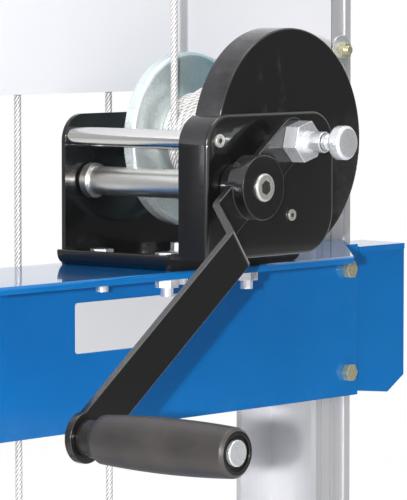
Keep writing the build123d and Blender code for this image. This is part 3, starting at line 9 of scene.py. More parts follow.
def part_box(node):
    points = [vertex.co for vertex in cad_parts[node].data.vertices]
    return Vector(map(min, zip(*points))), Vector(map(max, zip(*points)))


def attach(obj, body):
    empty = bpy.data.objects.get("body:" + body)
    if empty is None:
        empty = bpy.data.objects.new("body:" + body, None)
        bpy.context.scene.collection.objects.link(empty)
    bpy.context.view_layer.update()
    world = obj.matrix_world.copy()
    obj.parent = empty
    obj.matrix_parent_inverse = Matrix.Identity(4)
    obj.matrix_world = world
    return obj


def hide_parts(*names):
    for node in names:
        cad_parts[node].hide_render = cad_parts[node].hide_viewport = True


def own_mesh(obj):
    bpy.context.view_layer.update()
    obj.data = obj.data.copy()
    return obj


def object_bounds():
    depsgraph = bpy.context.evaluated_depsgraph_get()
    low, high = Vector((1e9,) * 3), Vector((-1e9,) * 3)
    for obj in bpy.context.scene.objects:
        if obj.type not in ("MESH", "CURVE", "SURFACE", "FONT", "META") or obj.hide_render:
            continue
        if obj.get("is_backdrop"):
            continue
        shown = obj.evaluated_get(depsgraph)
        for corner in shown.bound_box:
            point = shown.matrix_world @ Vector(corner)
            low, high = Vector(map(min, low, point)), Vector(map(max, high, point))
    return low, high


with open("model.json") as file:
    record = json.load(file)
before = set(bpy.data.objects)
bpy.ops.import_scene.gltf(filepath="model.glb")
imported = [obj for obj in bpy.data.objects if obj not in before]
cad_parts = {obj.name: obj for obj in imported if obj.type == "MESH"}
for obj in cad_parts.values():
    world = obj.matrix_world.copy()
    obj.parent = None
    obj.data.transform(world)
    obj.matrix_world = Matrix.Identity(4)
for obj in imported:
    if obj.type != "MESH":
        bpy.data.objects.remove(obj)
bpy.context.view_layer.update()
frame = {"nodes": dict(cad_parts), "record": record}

# Straddle legs and the tube across them, the base that everything stands on.
# Square steel tube, cut, welded and powder coated blue, with flat yoke plates welded on for the front wheels.
MM = 0.001
body_of = {name: body for body, names in frame["record"]["behaviour"]["bodies"].items() for name in names}


def shader(tree, kind, inputs=(), **settings):
    """A shader node. Each input is a plain value or the output of another node."""
    made = tree.nodes.new("ShaderNode" + kind)
    for key, value in settings.items():
        setattr(made, key, value)
    for key, value in dict(inputs).items():
        if isinstance(value, bpy.types.NodeSocket):
            tree.links.new(value, made.inputs[key])
        else:
            made.inputs[key].default_value = value
    return made


def noise(tree, where, scale, detail=2.0, rough=0.5):
    return shader(tree, "TexNoise", {"Vector": where, "Scale": scale, "Detail": detail,
                                     "Roughness": rough}).outputs[0]


def remap(tree, value, low, high, to_low=0.0, to_high=1.0):
    return shader(tree, "MapRange", {"Value": value, "From Min": low, "From Max": high, "To Min": to_low,
                                     "To Max": to_high}).outputs[0]


def tint(tree, share, first, second, blend="MIX"):
    return shader(tree, "Mix", {0: share, 6: first, 7: second}, data_type="RGBA", blend_type=blend).outputs[2]


def sums(tree, operation, first, second):
    return shader(tree, "Math", {0: first, 1: second}, operation=operation).outputs[0]


def effect(name, inputs, outputs):
    """An empty shader group with its sockets: the tree, what comes in and what goes out."""
    tree = bpy.data.node_groups.new(name, "ShaderNodeTree")
    for socket, kind, value in inputs:
        given = tree.interface.new_socket(socket, in_out="INPUT", socket_type="NodeSocket" + kind)
        given.default_value = value
    for socket, kind in outputs:
        tree.interface.new_socket(socket, in_out="OUTPUT", socket_type="NodeSocket" + kind)
    return tree, tree.nodes.new("NodeGroupInput").outputs, tree.nodes.new("NodeGroupOutput").inputs


def colour(red, green, blue):
    return (red, green, blue, 1.0)


# Powder coat: a fine orange peel in the surface, and a film that is a little thicker here than there.
powder_coat, given, out = effect(
    "Powder coat",
    [("Colour", "Color", colour(0.5, 0.5, 0.5)), ("Peel", "Float", 650.0), ("Tone", "Float", 0.1),
     ("Gloss", "Float", 0.3)],
    [("Colour", "Color"), ("Roughness", "Float"), ("Height", "Float")])
place = shader(powder_coat, "TexCoord").outputs["Object"]
film = noise(powder_coat, place, 9.0, 3.0)
peel = noise(powder_coat, place, given["Peel"], 1.0)
shade = sums(powder_coat, "MULTIPLY", remap(powder_coat, film, 0.3, 0.7, -1.0, 1.0), given["Tone"])
light = sums(powder_coat, "ADD", shade, 1.0)
grey = shader(powder_coat, "CombineColor", {0: light, 1: light, 2: light}).outputs[0]
powder_coat.links.new(tint(powder_coat, 1.0, given["Colour"], grey, "MULTIPLY"), out["Colour"])
spread = remap(powder_coat, peel, 0.2, 0.8, 0.85, 1.2)
powder_coat.links.new(sums(powder_coat, "MULTIPLY", spread, given["Gloss"]), out["Roughness"])
powder_coat.links.new(peel, out["Height"])

# Edge wear: paint rubbed thin along the outer edges, broken up by noise.
edge_wear, given, out = effect("Edge wear", [("Amount", "Float", 0.5)], [("Mask", "Float")])
place = shader(edge_wear, "TexCoord").outputs["Object"]
edge = remap(edge_wear, shader(edge_wear, "NewGeometry").outputs["Pointiness"], 0.53, 0.62)
patches = remap(edge_wear, noise(edge_wear, place, 60.0, 4.0, 0.7), 0.45, 0.7)
rubbed = sums(edge_wear, "MULTIPLY", edge, patches)
edge_wear.links.new(sums(edge_wear, "MULTIPLY", rubbed, given["Amount"]), out["Mask"])

# Settled dust: a thin pale film on faces that look up.
settled_dust, given, out = effect("Settled dust", [("Amount", "Float", 0.2)], [("Mask", "Float")])
place = shader(settled_dust, "TexCoord").outputs["Object"]
facing = shader(settled_dust, "NewGeometry").outputs["Normal"]
upward = shader(settled_dust, "SeparateXYZ", {0: facing}).outputs[2]
flat = remap(settled_dust, upward, 0.6, 1.0)
specks = remap(settled_dust, noise(settled_dust, place, 35.0, 6.0, 0.65), 0.35, 0.75)
lying = sums(settled_dust, "MULTIPLY", flat, specks)
settled_dust.links.new(sums(settled_dust, "MULTIPLY", lying, given["Amount"]), out["Mask"])


def new_material(name):
    made = bpy.data.materials.new(name)
    made.use_nodes = True
    return made, made.node_tree, made.node_tree.nodes["Principled BSDF"]


def grouped(tree, group, **inputs):
    return shader(tree, "Group", {key.replace("_", " "): value for key, value in inputs.items()},
                  node_tree=group).outputs


def bump(tree, surface, height, strength, distance):
    raised = shader(tree, "Bump", {"Strength": strength, "Distance": distance, "Height": height})
    tree.links.new(raised.outputs[0], surface.inputs["Normal"])


def coated(name, paint, peel, tone, gloss, worn, bared, dust, coat_gloss, base_shine=0.2):
    """Powder coated steel: paint with orange peel, edges rubbed to the bared colour, a trace of dust."""
    material, tree, surface = new_material(name)
    film = grouped(tree, powder_coat, Colour=paint, Peel=peel, Tone=tone, Gloss=gloss)
    rubbed = tint(tree, grouped(tree, edge_wear, Amount=worn)["Mask"], film["Colour"], bared)
    dusty = tint(tree, grouped(tree, settled_dust, Amount=dust)["Mask"], rubbed, colour(0.62, 0.6, 0.57))
    tree.links.new(dusty, surface.inputs["Base Color"])
    tree.links.new(film["Roughness"], surface.inputs["Roughness"])
    surface.inputs["Coat Weight"].default_value = 1.0
    surface.inputs["Coat Roughness"].default_value = coat_gloss
    surface.inputs["Specular IOR Level"].default_value = base_shine
    bump(tree, surface, film["Height"], 0.05, 0.0003)
    return material


blue_coat = coated("blue powder coat", colour(0.002, 0.137, 0.415), 600.0, 0.06, 0.4, 0.2,
                   colour(0.1, 0.3, 0.55), 0.03, 0.06, base_shine=0.04)


def show(name, mesh, materials):
    piece = bpy.data.objects.new(name, mesh)
    bpy.context.scene.collection.objects.link(piece)
    for material in materials:
        mesh.materials.append(material)
    return piece


def stand_for(piece, *names):
    """The piece moves with and takes the place of these nodes of the frame."""
    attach(piece, body_of[names[0]])
    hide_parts(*names)
    return piece


SHARP = radians(32)
PLANE_SLACK = 0.02 * MM
WELD = 2e-6
FLAT = radians(1.0)


def front_line(form):
    """The longest closed line of sharp edges in the foremost plane of a form."""
    front = min(corner.co.y for corner in form.verts)
    left = {edge for edge in form.edges if all(corner.co.y < front + PLANE_SLACK for corner in edge.verts)
            and edge.calc_face_angle(0.0) > SHARP}
    longest = []
    while left:
        line = [left.pop()]
        for edge in line:
            near = {other for corner in edge.verts for other in corner.link_edges} & left
            left -= near
            line.extend(sorted(near, key=lambda other: other.index))
        longest = max(longest, line, key=lambda edges: sum(edge.calc_length() for edge in edges))
    return longest


def eased(name, radius, *materials, steps=2, pressed=0.0, sunk=None):
    """The node's own form with its sharp edges eased, as sheet, bar and turned pieces leave the shop.

    A pressed sheet has a larger bend all round its front face. A sunk head has a recess in it: the width of
    its rim and the depth, with the second material inside, which paints the recess in shade.
    """
    mesh = bpy.data.meshes.new(name + "_made")
    form = bmesh.new()
    form.from_mesh(frame["nodes"][name].data)
    bmesh.ops.remove_doubles(form, verts=form.verts, dist=WELD)
    bmesh.ops.dissolve_limit(form, angle_limit=FLAT, verts=form.verts, edges=form.edges)
    if pressed:
        form.edges.index_update()
        bmesh.ops.bevel(form, geom=front_line(form), offset=pressed, segments=5, profile=0.5, affect="EDGES",
                        clamp_overlap=True)
    if sunk:
        front = min(corner.co.y for corner in form.verts)
        heads = [face for face in form.faces
                 if all(corner.co.y < front + PLANE_SLACK for corner in face.verts)]
        bmesh.ops.inset_individual(form, faces=heads, thickness=sunk[0])
        walls = bmesh.ops.inset_individual(form, faces=heads, thickness=sunk[1] / 4, depth=-sunk[1])["faces"]
        for face in walls + heads:
            face.material_index = 1
    for face in form.faces:
        face.smooth = True
    form.to_mesh(mesh)
    form.free()
    mesh.set_sharp_from_angle(angle=SHARP)
    piece = show(mesh.name, mesh, materials)
    edge = piece.modifiers.new("eased edges", "BEVEL")
    edge.width = radius
    edge.segments = steps
    edge.limit_method = "ANGLE"
    edge.angle_limit = SHARP
    edge.harden_normals = True
    return stand_for(piece, name)


for name in ("leg_left", "leg_right", "base_crossbar"):
    eased(name, 2.0 * MM, blue_coat)

# Front wheels on headed axles, and swivel casters under the rear of the legs.
# Solid grey tyres on moulded hubs; plates, forks and axles are pressed and turned steel, zinc plated.
plated_steel, given, out = effect(
    "Plated steel",
    [("Bright", "Color", colour(0.8, 0.8, 0.8)), ("Dull", "Color", colour(0.6, 0.6, 0.6)),
     ("Cloud", "Float", 60.0), ("Gloss", "Float", 0.25)],
    [("Colour", "Color"), ("Roughness", "Float"), ("Height", "Float")])
place = shader(plated_steel, "TexCoord").outputs["Object"]
clouds = noise(plated_steel, place, given["Cloud"], 4.0, 0.6)
pits = noise(plated_steel, place, 1500.0, 1.0)
dulled = remap(plated_steel, clouds, 0.35, 0.68)
plated_steel.links.new(tint(plated_steel, dulled, given["Bright"], given["Dull"]), out["Colour"])
spread = remap(plated_steel, clouds, 0.3, 0.7, 0.75, 1.3)
plated_steel.links.new(sums(plated_steel, "MULTIPLY", spread, given["Gloss"]), out["Roughness"])
plated_steel.links.new(pits, out["Height"])


def plated(name, bright, dull, cloud, gloss, strength=0.03, metal=0.75):
    material, tree, surface = new_material(name)
    film = grouped(tree, plated_steel, Bright=bright, Dull=dull, Cloud=cloud, Gloss=gloss)
    surface.inputs["Metallic"].default_value = metal
    tree.links.new(film["Colour"], surface.inputs["Base Color"])
    tree.links.new(film["Roughness"], surface.inputs["Roughness"])
    bump(tree, surface, film["Height"], strength, 0.0002)
    return material


bright_zinc = plated("bright zinc", colour(0.83, 0.84, 0.86), colour(0.66, 0.69, 0.72), 45.0, 0.26, metal=0.7)


def moulded(name, base, mottle, scale, rough, grain, strength):
    """Moulded plastic or rubber, also used for the painted shade inside recesses: mottled tone and a fine
    grain.
    """
    material, tree, surface = new_material(name)
    place = shader(tree, "TexCoord").outputs["Object"]
    clouds = remap(tree, noise(tree, place, scale, 4.0, 0.6), 0.3, 0.7)
    tree.links.new(tint(tree, clouds, base, mottle), surface.inputs["Base Color"])
    tree.links.new(remap(tree, clouds, 0.0, 1.0, rough * 0.88, rough * 1.1), surface.inputs["Roughness"])
    bump(tree, surface, noise(tree, place, grain, 2.0), strength, 0.0003)
    return material


tyre_rubber = moulded("tyre rubber", colour(0.045, 0.045, 0.048), colour(0.07, 0.07, 0.072),
                      40.0, 0.72, 900.0, 0.3)
hub_plastic = moulded("hub plastic", colour(0.3, 0.31, 0.32), colour(0.36, 0.37, 0.38),
                      25.0, 0.45, 1200.0, 0.12)
RIM_SHARE = 0.71
WHEEL_R = 55 * MM
CASTER_R = 37.5 * MM


def tyred(name, radius):
    """A wheel whose tread and sidewall are rubber, and everything inside the rim the hub's plastic."""
    piece = eased(name, 0.8 * MM, tyre_rubber, hub_plastic)
    low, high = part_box(name)
    y, z = (low[1] + high[1]) / 2, (low[2] + high[2]) / 2
    for face in piece.data.polygons:
        face.material_index = int(hypot(face.center.y - y, face.center.z - z) < RIM_SHARE * radius)


for side in ("left", "right"):
    tyred("front_wheel_" + side, WHEEL_R)
    tyred("caster_wheel_" + side, CASTER_R)
    eased("caster_fork_" + side, 0.8 * MM, bright_zinc)
for name in ("front_axles", "caster_plates"):
    eased(name, 0.8 * MM, bright_zinc)

# Mast rails: two grooved channels of extruded aluminium, natural satin finish with lines along their length.
# They stand on gusseted feet, with a flat brace bar down to each leg.
satin_aluminium, tree, surface = new_material("satin aluminium")
place = shader(tree, "TexCoord").outputs["Object"]
along = shader(tree, "Mapping", {"Vector": place, "Scale": (1.0, 1.0, 0.012)}).outputs[0]
lines = noise(tree, along, 420.0, 3.0, 0.6)
bloom = noise(tree, place, 5.0, 3.0)
surface.inputs["Metallic"].default_value = 0.6
tree.links.new(tint(tree, remap(tree, bloom, 0.3, 0.7), colour(0.64, 0.64, 0.66), colour(0.57, 0.57, 0.59)),
               surface.inputs["Base Color"])
tree.links.new(remap(tree, lines, 0.25, 0.75, 0.34, 0.5), surface.inputs["Roughness"])
bump(tree, surface, lines, 0.1, 0.0003)
for side in ("left", "right"):
    eased("mast_rail_" + side, 0.6 * MM, satin_aluminium)
    eased("mast_brace_" + side, 0.8 * MM, blue_coat)
eased("mast_feet", 1.0 * MM, blue_coat)

# Winch beam and its brackets: plate folded once into a web and a shelf, hemmed along the front, blue.
# The brackets carry the web on the rail faces, with bolts right through.
eased("winch_beam", 0.7 * MM, blue_coat)
LIP_CUT = 6 * MM
LIP_EDGE = 0.1 * MM
for side in ("left", "right"):
    bracket = eased("beam_bracket_" + side, 0.7 * MM, blue_coat)
    low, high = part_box("beam_bracket_" + side)
    end = max(abs(low[0]), abs(high[0]))
    for corner in bracket.data.vertices:
        if abs(corner.co.x) > end - LIP_EDGE and corner.co.y < low[1] + LIP_EDGE:
            corner.co.x *= (end - LIP_CUT) / end

# Frame bolts: plain hexagon bolts, zinc plated and passivated yellow.
yellow_zinc = plated("yellow zinc", colour(0.74, 0.67, 0.45), colour(0.42, 0.46, 0.33), 160.0, 0.28)
eased("frame_bolts", 0.7 * MM, yellow_zinc)

# Rating plate: a bare white sheet label stuck to the web.
label_white = moulded("label white", colour(0.67, 0.665, 0.66), colour(0.63, 0.625, 0.62),
                      8.0, 0.4, 700.0, 0.05)
LABEL_LEFT, LABEL_RIGHT = -14 * MM, 88 * MM
LABEL_LOW, LABEL_TOP = 839 * MM, 871.5 * MM
LABEL_T = 0.4 * MM
LABEL_CORNER = 2 * MM
WEB_T = 4 * MM
web_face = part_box("winch_beam")[1][1] - WEB_T
form = bmesh.new()
bmesh.ops.create_cube(form, size=1.0, matrix=Matrix.LocRotScale(
    Vector(((LABEL_LEFT + LABEL_RIGHT) / 2, web_face - LABEL_T / 2, (LABEL_LOW + LABEL_TOP) / 2)), None,
    Vector((LABEL_RIGHT - LABEL_LEFT, LABEL_T, LABEL_TOP - LABEL_LOW))))
corners = [edge for edge in form.edges if abs(edge.verts[0].co.y - edge.verts[1].co.y) > LABEL_T / 2]
bmesh.ops.bevel(form, geom=corners, offset=LABEL_CORNER, segments=4, profile=0.5, affect="EDGES")
mesh = bpy.data.meshes.new("rating_plate")
form.to_mesh(mesh)
form.free()
label = show("rating_plate", mesh, [label_white])
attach(label, "truck")

# Guard panel: plain white sheet across the mast, screwed to the rails with zinc plated screws.
# Beside it a yellow nut on a bright washer sits in the slot of each rail.
panel_white = moulded("panel white", colour(0.775, 0.775, 0.805), colour(0.74, 0.74, 0.77),
                      3.0, 0.42, 500.0, 0.04)
eased("guard_panel", 0.5 * MM, panel_white)
eased("panel_screws", 0.6 * MM, bright_zinc)
SLOT_NUT_R = 5.9 * MM
nuts = eased("slot_nuts", 0.4 * MM, yellow_zinc, bright_zinc)
low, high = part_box("slot_nuts")
z, nut_x = (low[2] + high[2]) / 2, (high[0] - (high[2] - low[2]) / 2)
for face in nuts.data.polygons:
    ends = [nuts.data.vertices[i].co for i in face.vertices]
    reach = max(hypot(abs(end.x) - nut_x, end.z - z) for end in ends)
    face.material_index = int(reach > SLOT_NUT_R)

# Winch frame and gear cover: pressed steel in gloss black powder coat.
# One bent frame holds a front pan, a back plate and a tray; the round cover sits behind the front pan.
black_coat = coated("black powder coat", colour(0.0045, 0.0045, 0.0048), 420.0, 0.1, 0.4, 0.5,
                    colour(0.05, 0.05, 0.05), 0.0, 0.1)
PRESSED_BEND = 2.4 * MM
eased("winch_frame", 0.5 * MM, black_coat, pressed=PRESSED_BEND)
eased("gear_cover", 0.4 * MM, black_coat, pressed=PRESSED_BEND)
dull_zinc = plated("dull zinc", colour(0.66, 0.66, 0.62), colour(0.5, 0.5, 0.46), 90.0, 0.3)
# Painted shade: a near-black colour for the insides of sunk heads and screw sockets, where shade falls.
recess_painted_shade = moulded("recess painted shade", colour(0.02, 0.019, 0.016), colour(0.05, 0.045, 0.035),
                      60.0, 0.4, 700.0, 0.05)
eased("cover_rivet", 0.5 * MM, dull_zinc, recess_painted_shade, sunk=(2.1 * MM, 0.7 * MM))

# Tie rod: a polished spacer between the plates, with a round-headed screw at each end.
turned_marks, given, out = effect("Turning marks", [("Rings", "Float", 900.0)], [("Height", "Float")])
place = shader(turned_marks, "TexCoord").outputs["Object"]
thin = shader(turned_marks, "Mapping", {"Vector": place, "Scale": (0.02, 1.0, 0.02)}).outputs[0]
turned_marks.links.new(noise(turned_marks, thin, given["Rings"], 2.0), out["Height"])


def turned(name, base, rough_low, rough_high, rings, strength):
    """Bright turned steel with fine marks round its length."""
    material, tree, surface = new_material(name)
    marks = grouped(tree, turned_marks, Rings=rings)["Height"]
    surface.inputs["Metallic"].default_value = 1.0
    surface.inputs["Base Color"].default_value = base
    tree.links.new(remap(tree, marks, 0.25, 0.75, rough_low, rough_high), surface.inputs["Roughness"])
    bump(tree, surface, marks, strength, 0.0001)
    return material


polished = turned("polished steel", colour(0.78, 0.77, 0.75), 0.16, 0.2, 700.0, 0.004)
eased("tie_rod", 0.5 * MM, polished)
eased("tie_rod_screws", 0.5 * MM, dull_zinc, recess_painted_shade, sunk=(2.6 * MM, 0.8 * MM))

# Winch bolts and nuts: down through tray and shelf, nuts below. Bright zinc.
eased("winch_bolts", 0.6 * MM, bright_zinc)
eased("winch_nuts", 0.6 * MM, bright_zinc)

# Gear train: big gear on the drum, pinion cut on the crank shaft, shaft running in bronze bushes.
turned_steel = turned("turned steel", colour(0.78, 0.77, 0.74), 0.3, 0.36, 500.0, 0.004)
bronze = plated("bronze", colour(0.62, 0.43, 0.2), colour(0.5, 0.33, 0.15), 90.0, 0.38)
eased("drum_gear", 0.25 * MM, bright_zinc)
eased("crank_shaft", 0.35 * MM, turned_steel)
eased("shaft_bushes", 0.3 * MM, bronze)
eased("drum_axle", 0.6 * MM, bright_zinc)

# Cable drum: pressed and zinc plated, blue passivated, with the rim of its rear flange turned back.
drum_zinc_and_painted_reflection, tree, surface = new_material("blue zinc and painted reflection")
film = grouped(tree, plated_steel, Bright=colour(0.77, 0.83, 0.82), Dull=colour(0.71, 0.79, 0.79),
               Cloud=20.0, Gloss=0.26)
place = shader(tree, "TexCoord").outputs["Object"]
across = shader(tree, "SeparateXYZ", {0: place}).outputs[0]
# Painted bluish reflection and shade: in streaks, the face turns a darker teal toward the right (+X). The
# pale green-grey under it is the blue passivated zinc itself.
reflection_streaks = remap(tree, noise(tree, place, 14.0, 3.0), 0.3, 0.6, 0.35, 1.0)
share = sums(tree, "MULTIPLY", remap(tree, across, 20 * MM, 75 * MM), reflection_streaks)
tree.links.new(tint(tree, share, film["Colour"], colour(0.16, 0.38, 0.47)), surface.inputs["Base Color"])
tree.links.new(film["Roughness"], surface.inputs["Roughness"])
surface.inputs["Metallic"].default_value = 0.65
bump(tree, surface, film["Height"], 0.03, 0.0002)
eased("cable_drum", 0.5 * MM, drum_zinc_and_painted_reflection)

# Wire rope: six galvanised strands laid round a core, 4.8 mm across.
# It leaves the drum, goes over the head sheave, down the mast and round the carriage sheave to its anchor.
ROPE_R = 2.4 * MM
STRANDS = 6
STRAND_R = 0.8 * MM
LAY = 18 * MM
STEP = 1.8 * MM
rope_wire_painted_valleys, tree, surface = new_material("rope wire with painted valley shade")
film = grouped(tree, plated_steel, Bright=colour(0.88, 0.87, 0.86), Dull=colour(0.78, 0.77, 0.76),
               Cloud=300.0, Gloss=0.4)
# Painted shade: the valleys between strands are darkened to dark grey, and the strand crowns keep the wire
# colour.
crown_vs_valley_shade = shader(tree, "Attribute", attribute_name="crown_vs_valley_shade").outputs["Fac"]
tree.links.new(tint(tree, crown_vs_valley_shade, colour(0.3, 0.29, 0.28), film["Colour"]), surface.inputs["Base Color"])
tree.links.new(film["Roughness"], surface.inputs["Roughness"])
surface.inputs["Metallic"].default_value = 0.25
lobe = [radians(a) for a in (-78, -30, 30, 78)]
strand_ring = []
for i in range(STRANDS):
    middle = 2 * pi * i / STRANDS
    for a in lobe:
        strand_ring.append(((ROPE_R - STRAND_R) * cos(middle) + STRAND_R * cos(middle + a),
                            (ROPE_R - STRAND_R) * sin(middle) + STRAND_R * sin(middle + a)))


def laid(name, route, side):
    """A rope mesh along a route of close points; side is a direction across the route at its start."""
    form = bmesh.new()
    crown_vs_valley_shade = form.verts.layers.float.new("crown_vs_valley_shade")
    rings, run = [], 0.0
    across = Vector(side)
    for i, here in enumerate(route):
        ahead = (route[min(i + 1, len(route) - 1)] - route[max(i - 1, 0)]).normalized()
        across = (across - ahead * across.dot(ahead)).normalized()
        over = ahead.cross(across)
        run += (here - route[i - 1]).length if i else 0.0
        twist = 2 * pi * run / LAY
        c, s = cos(twist), sin(twist)
        rings.append([form.verts.new(here + across * (x * c - y * s) + over * (x * s + y * c))
                      for x, y in strand_ring])
        # Strand crowns are marked 1 and the valleys between strands 0, for the painted valley shade.
        for place, corner in enumerate(rings[-1]):
            corner[crown_vs_valley_shade] = float(place % len(lobe) in (1, 2))
    for first, second in zip(rings, rings[1:]):
        for i in range(len(first)):
            form.faces.new((first[i - 1], first[i], second[i], second[i - 1])).smooth = True
    form.faces.new(reversed(rings[0]))
    form.faces.new(rings[-1])
    mesh = bpy.data.meshes.new(name)
    form.to_mesh(mesh)
    form.free()
    return show(name, mesh, [rope_wire_painted_valleys])


def straight(start, end):
    steps = max(2, round((Vector(end) - Vector(start)).length / STEP))
    return [Vector(start).lerp(Vector(end), i / steps) for i in range(steps + 1)]


DRUM = Vector((49, -356, 975.5)) * MM
PACK_R = 32 * MM
FIRST_TURN = 27.7 * MM
TURN = 4.8 * MM
TOP_TURNS = 9
LOW_TURNS = 3


def wound(turns, radius, start, begin):
    """A helix of rope turns on the drum, side by side."""
    count = round(turns * 2 * pi * radius / STEP)
    points = []
    for i in range(count + 1):
        angle = begin + 2 * pi * turns * i / count
        along = start + TURN * turns * i / count
        points.append(DRUM + Vector((radius * cos(angle), along, radius * sin(angle))))
    return points


winding = laid("rope_on_drum", wound(TOP_TURNS, PACK_R, FIRST_TURN - TURN / 2, pi), (1, 0, 0))
stand_for(winding, "cable_winding")
low_start = FIRST_TURN + (TOP_TURNS - 0.5) * TURN
inner = laid("rope_under_layer", wound(LOW_TURNS, PACK_R - TURN, low_start, pi), (1, 0, 0))
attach(inner, "drum")

RUN_HALF = 43.4 * MM
LIFT_Y = -206 * MM
LOOP_Z = 484.4 * MM
RUN_TOP = 1690 * MM
LEFT_TOP = 1674 * MM
FRONT_RUN = Vector((16.7, -284.8, 0)) * MM
HEAD_MID = Vector((30.05, -245.4, 1758.6)) * MM
HEAD_R = 41.6 * MM
lead = (Vector((RUN_HALF, LIFT_Y, 0)) - FRONT_RUN).normalized()


def half_turn(middle, radius, lead, sign):
    steps = round(pi * radius / STEP)
    return [middle - lead * radius * cos(pi * i / steps) + Vector((0, 0, sign * radius * sin(pi * i / steps)))
            for i in range(1, steps)]


over_head = half_turn(HEAD_MID, HEAD_R, lead, 1)
up = straight((FRONT_RUN.x, FRONT_RUN.y, DRUM.z), (FRONT_RUN.x, FRONT_RUN.y, HEAD_MID.z))
down = straight((RUN_HALF, LIFT_Y, HEAD_MID.z), (RUN_HALF, LIFT_Y, RUN_TOP))
stand_for(laid("rope_to_head", up + over_head + down, (1, 0, 0)), "cable_front_run")
under = half_turn(Vector((0, LIFT_Y, LOOP_Z)), RUN_HALF, Vector((1, 0, 0)), -1)
loop = [Vector((-RUN_HALF, LIFT_Y, LOOP_Z))] + under + [Vector((RUN_HALF, LIFT_Y, LOOP_Z))]
stand_for(laid("rope_round_sheave", loop, (0, 1, 0)), "cable_loop")
RUN_GAP = 0.4 * MM
RUN_LOW = LOOP_Z + RUN_GAP
left_line = straight((-RUN_HALF, LIFT_Y, RUN_LOW), (-RUN_HALF, LIFT_Y, LEFT_TOP))
right_line = straight((RUN_HALF, LIFT_Y, RUN_LOW), (RUN_HALF, LIFT_Y, RUN_TOP))
left_run = laid("rope_run_left", left_line, (1, 0, 0))
right_run = laid("rope_run_right", right_line, (1, 0, 0))
stand_for(right_run, "cable_runs")
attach(left_run, "truck")
for run in (left_run, right_run):
    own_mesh(run)
eased("cable_anchor", 0.5 * MM, bright_zinc)

# Crank: one flat bar with a joggle, hub disc on the shaft, short tail for the lock plunger. Gloss black.
eased("crank_arm", 1.5 * MM, black_coat, steps=4)
SOCKET_R = 4.6 * MM
SOCKET_START = 0.3 * MM
screw = eased("hub_screw", 0.5 * MM, dull_zinc, recess_painted_shade)
low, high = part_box("hub_screw")
x, z = (low[0] + high[0]) / 2, (low[2] + high[2]) / 2
# The faces inside the socket take the painted shade.
for face in screw.data.polygons:
    spot = face.center
    face.material_index = int(spot.y > low[1] + SOCKET_START and hypot(spot.x - x, spot.z - z) < SOCKET_R)
eased("plunger_body", 0.7 * MM, bright_zinc)
eased("plunger_pin", 0.6 * MM, bright_zinc, steps=3)
eased("grip_pin", 0.8 * MM, bright_zinc, steps=3)

# Crank grip: dark moulded barrel that spins on its riveted pin.
grip_plastic = moulded("grip plastic", colour(0.028, 0.025, 0.024), colour(0.048, 0.042, 0.04),
                       38.0, 0.42, 500.0, 0.12)
collar_and_recess_black = moulded("collar and recess plastic", colour(0.006, 0.006, 0.006), colour(0.012, 0.011, 0.01),
                       30.0, 0.2, 500.0, 0.03)
NECK = 9.4 * MM
RECESS = 3.2 * MM
RECESS_R = 10.6 * MM
grip = eased("crank_grip", 0.8 * MM, grip_plastic, collar_and_recess_black, steps=3)
low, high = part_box("crank_grip")
x, z = (low[0] + high[0]) / 2, (low[2] + high[2]) / 2
# The neck by the arm and the inside of the recess at the grip's outer end are near black, darker than the
# barrel.
for face in grip.data.polygons:
    spot = face.center
    inside = spot.y < low[1] + RECESS and hypot(spot.x - x, spot.z - z) < RECESS_R
    face.material_index = int(inside or spot.y > high[1] - NECK)

# Head: folded channel over the rails, sheave bracket on top, sheave on a plain axle.
eased("head_beam", 0.8 * MM, blue_coat)
eased("sheave_bracket", 0.8 * MM, blue_coat)
for name in ("head_axle", "head_sheave", "carriage_axle", "carriage_sheave"):
    eased(name, 0.5 * MM, bright_zinc)

# Carriage and forks: welded bars and plates in blue, bent flat forks in black, nylon blocks in the rails.
nylon = moulded("natural nylon", colour(0.74, 0.72, 0.66), colour(0.68, 0.66, 0.6), 20.0, 0.5, 800.0, 0.1)
eased("carriage_frame", 1.0 * MM, blue_coat)
eased("slide_blocks", 1.0 * MM, nylon)
for side in ("left", "right"):
    eased("fork_" + side, 1.5 * MM, black_coat)
eased("fork_bolts", 0.8 * MM, bright_zinc)

# Push handle: bent tube welded to a plate on each rail, with two rubber sleeves.
handle_rubber = moulded("handle rubber", colour(0.02, 0.02, 0.02), colour(0.032, 0.032, 0.032),
                        40.0, 0.7, 600.0, 0.3)
eased("push_handle", 0.6 * MM, blue_coat)
eased("handle_grips", 0.6 * MM, handle_rubber)

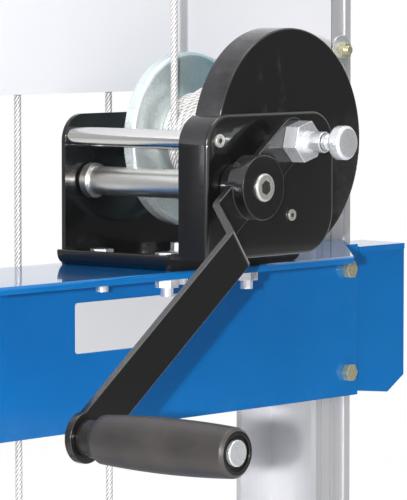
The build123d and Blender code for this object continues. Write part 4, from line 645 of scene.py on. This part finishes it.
# Studio: a white floor, broad soft lamps, and the camera at the photograph's close view of the winch.
FLOOR_HALF = 5.0
form = bmesh.new()
bmesh.ops.create_grid(form, x_segments=1, y_segments=1, size=FLOOR_HALF)
mesh = bpy.data.meshes.new("studio_floor")
form.to_mesh(mesh)
form.free()
floor_white, tree, surface = new_material("studio floor")
surface.inputs["Base Color"].default_value = colour(0.8, 0.8, 0.8)
surface.inputs["Roughness"].default_value = 0.9
rays = shader(tree, "LightPath").outputs
FLOOR_GLOW = 0.6
glow = sums(tree, "MULTIPLY", rays["Is Camera Ray"], FLOOR_GLOW)
tree.links.new(glow, surface.inputs["Emission Strength"])
surface.inputs["Emission Color"].default_value = colour(1, 1, 1)
show("studio_floor", mesh, [floor_white])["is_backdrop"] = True

world = bpy.data.worlds.new("studio")
world.use_nodes = True
bpy.context.scene.world = world
tree = world.node_tree
AMBIENT = 0.4
SHADED_SIDE = (0.8, -0.6, 0.0)
way = shader(tree, "TexCoord").outputs["Generated"]
facing = shader(tree, "VectorMath", {0: way, 1: SHADED_SIDE}, operation="DOT_PRODUCT").outputs["Value"]
dim_front = remap(tree, facing, 0.86, 0.98, 1.0, 0.1)
dim_left = remap(tree, facing, -0.4, -0.9, 1.0, 0.5)
mirrored = sums(tree, "MINIMUM", dim_front, dim_left)
rays = shader(tree, "LightPath").outputs
glossy = sums(tree, "MAXIMUM", rays["Is Glossy Ray"], rays["Is Transmission Ray"])
lit = shader(tree, "Mix", {0: glossy, 2: AMBIENT, 3: mirrored}).outputs[0]
strength = shader(tree, "Mix", {0: rays["Is Camera Ray"], 2: lit, 3: 1.0}).outputs[0]
tree.nodes["Background"].inputs["Color"].default_value = colour(1, 1, 1)
tree.links.new(strength, tree.nodes["Background"].inputs["Strength"])


def lamp(name, spot, target, size, power):
    light = bpy.data.lights.new(name, "AREA")
    light.shape = "RECTANGLE"
    light.size, light.size_y = size
    light.energy = power
    lit = bpy.data.objects.new(name, light)
    lit.location = spot
    lit.rotation_euler = (Vector(target) - Vector(spot)).to_track_quat("-Z", "Y").to_euler()
    bpy.context.scene.collection.objects.link(lit)


LOOK_AT = (0.1, -0.35, 0.93)
lamp("key", (-2.52, -2.19, 1.15), LOOK_AT, (0.04, 0.04), 90)
lamp("soft", (-3.2, -2.0, 2.17), LOOK_AT, (0.7, 0.7), 48)
lamp("top", (0.2, -0.4, 4.2), LOOK_AT, (2.5, 2.0), 70)

view = bpy.data.cameras.new("photo view")
view.sensor_width = 36.0
view.lens = 263.5
camera = bpy.data.objects.new("photo_view", view)
camera.location = (-1.7388, -1.7819, 1.0684)
camera.rotation_euler = (radians(90 - 4.0166), 0, radians(-50))
bpy.context.scene.collection.objects.link(camera)
bpy.context.scene.camera = camera
bpy.context.scene.view_settings.view_transform = "Standard"

low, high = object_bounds()
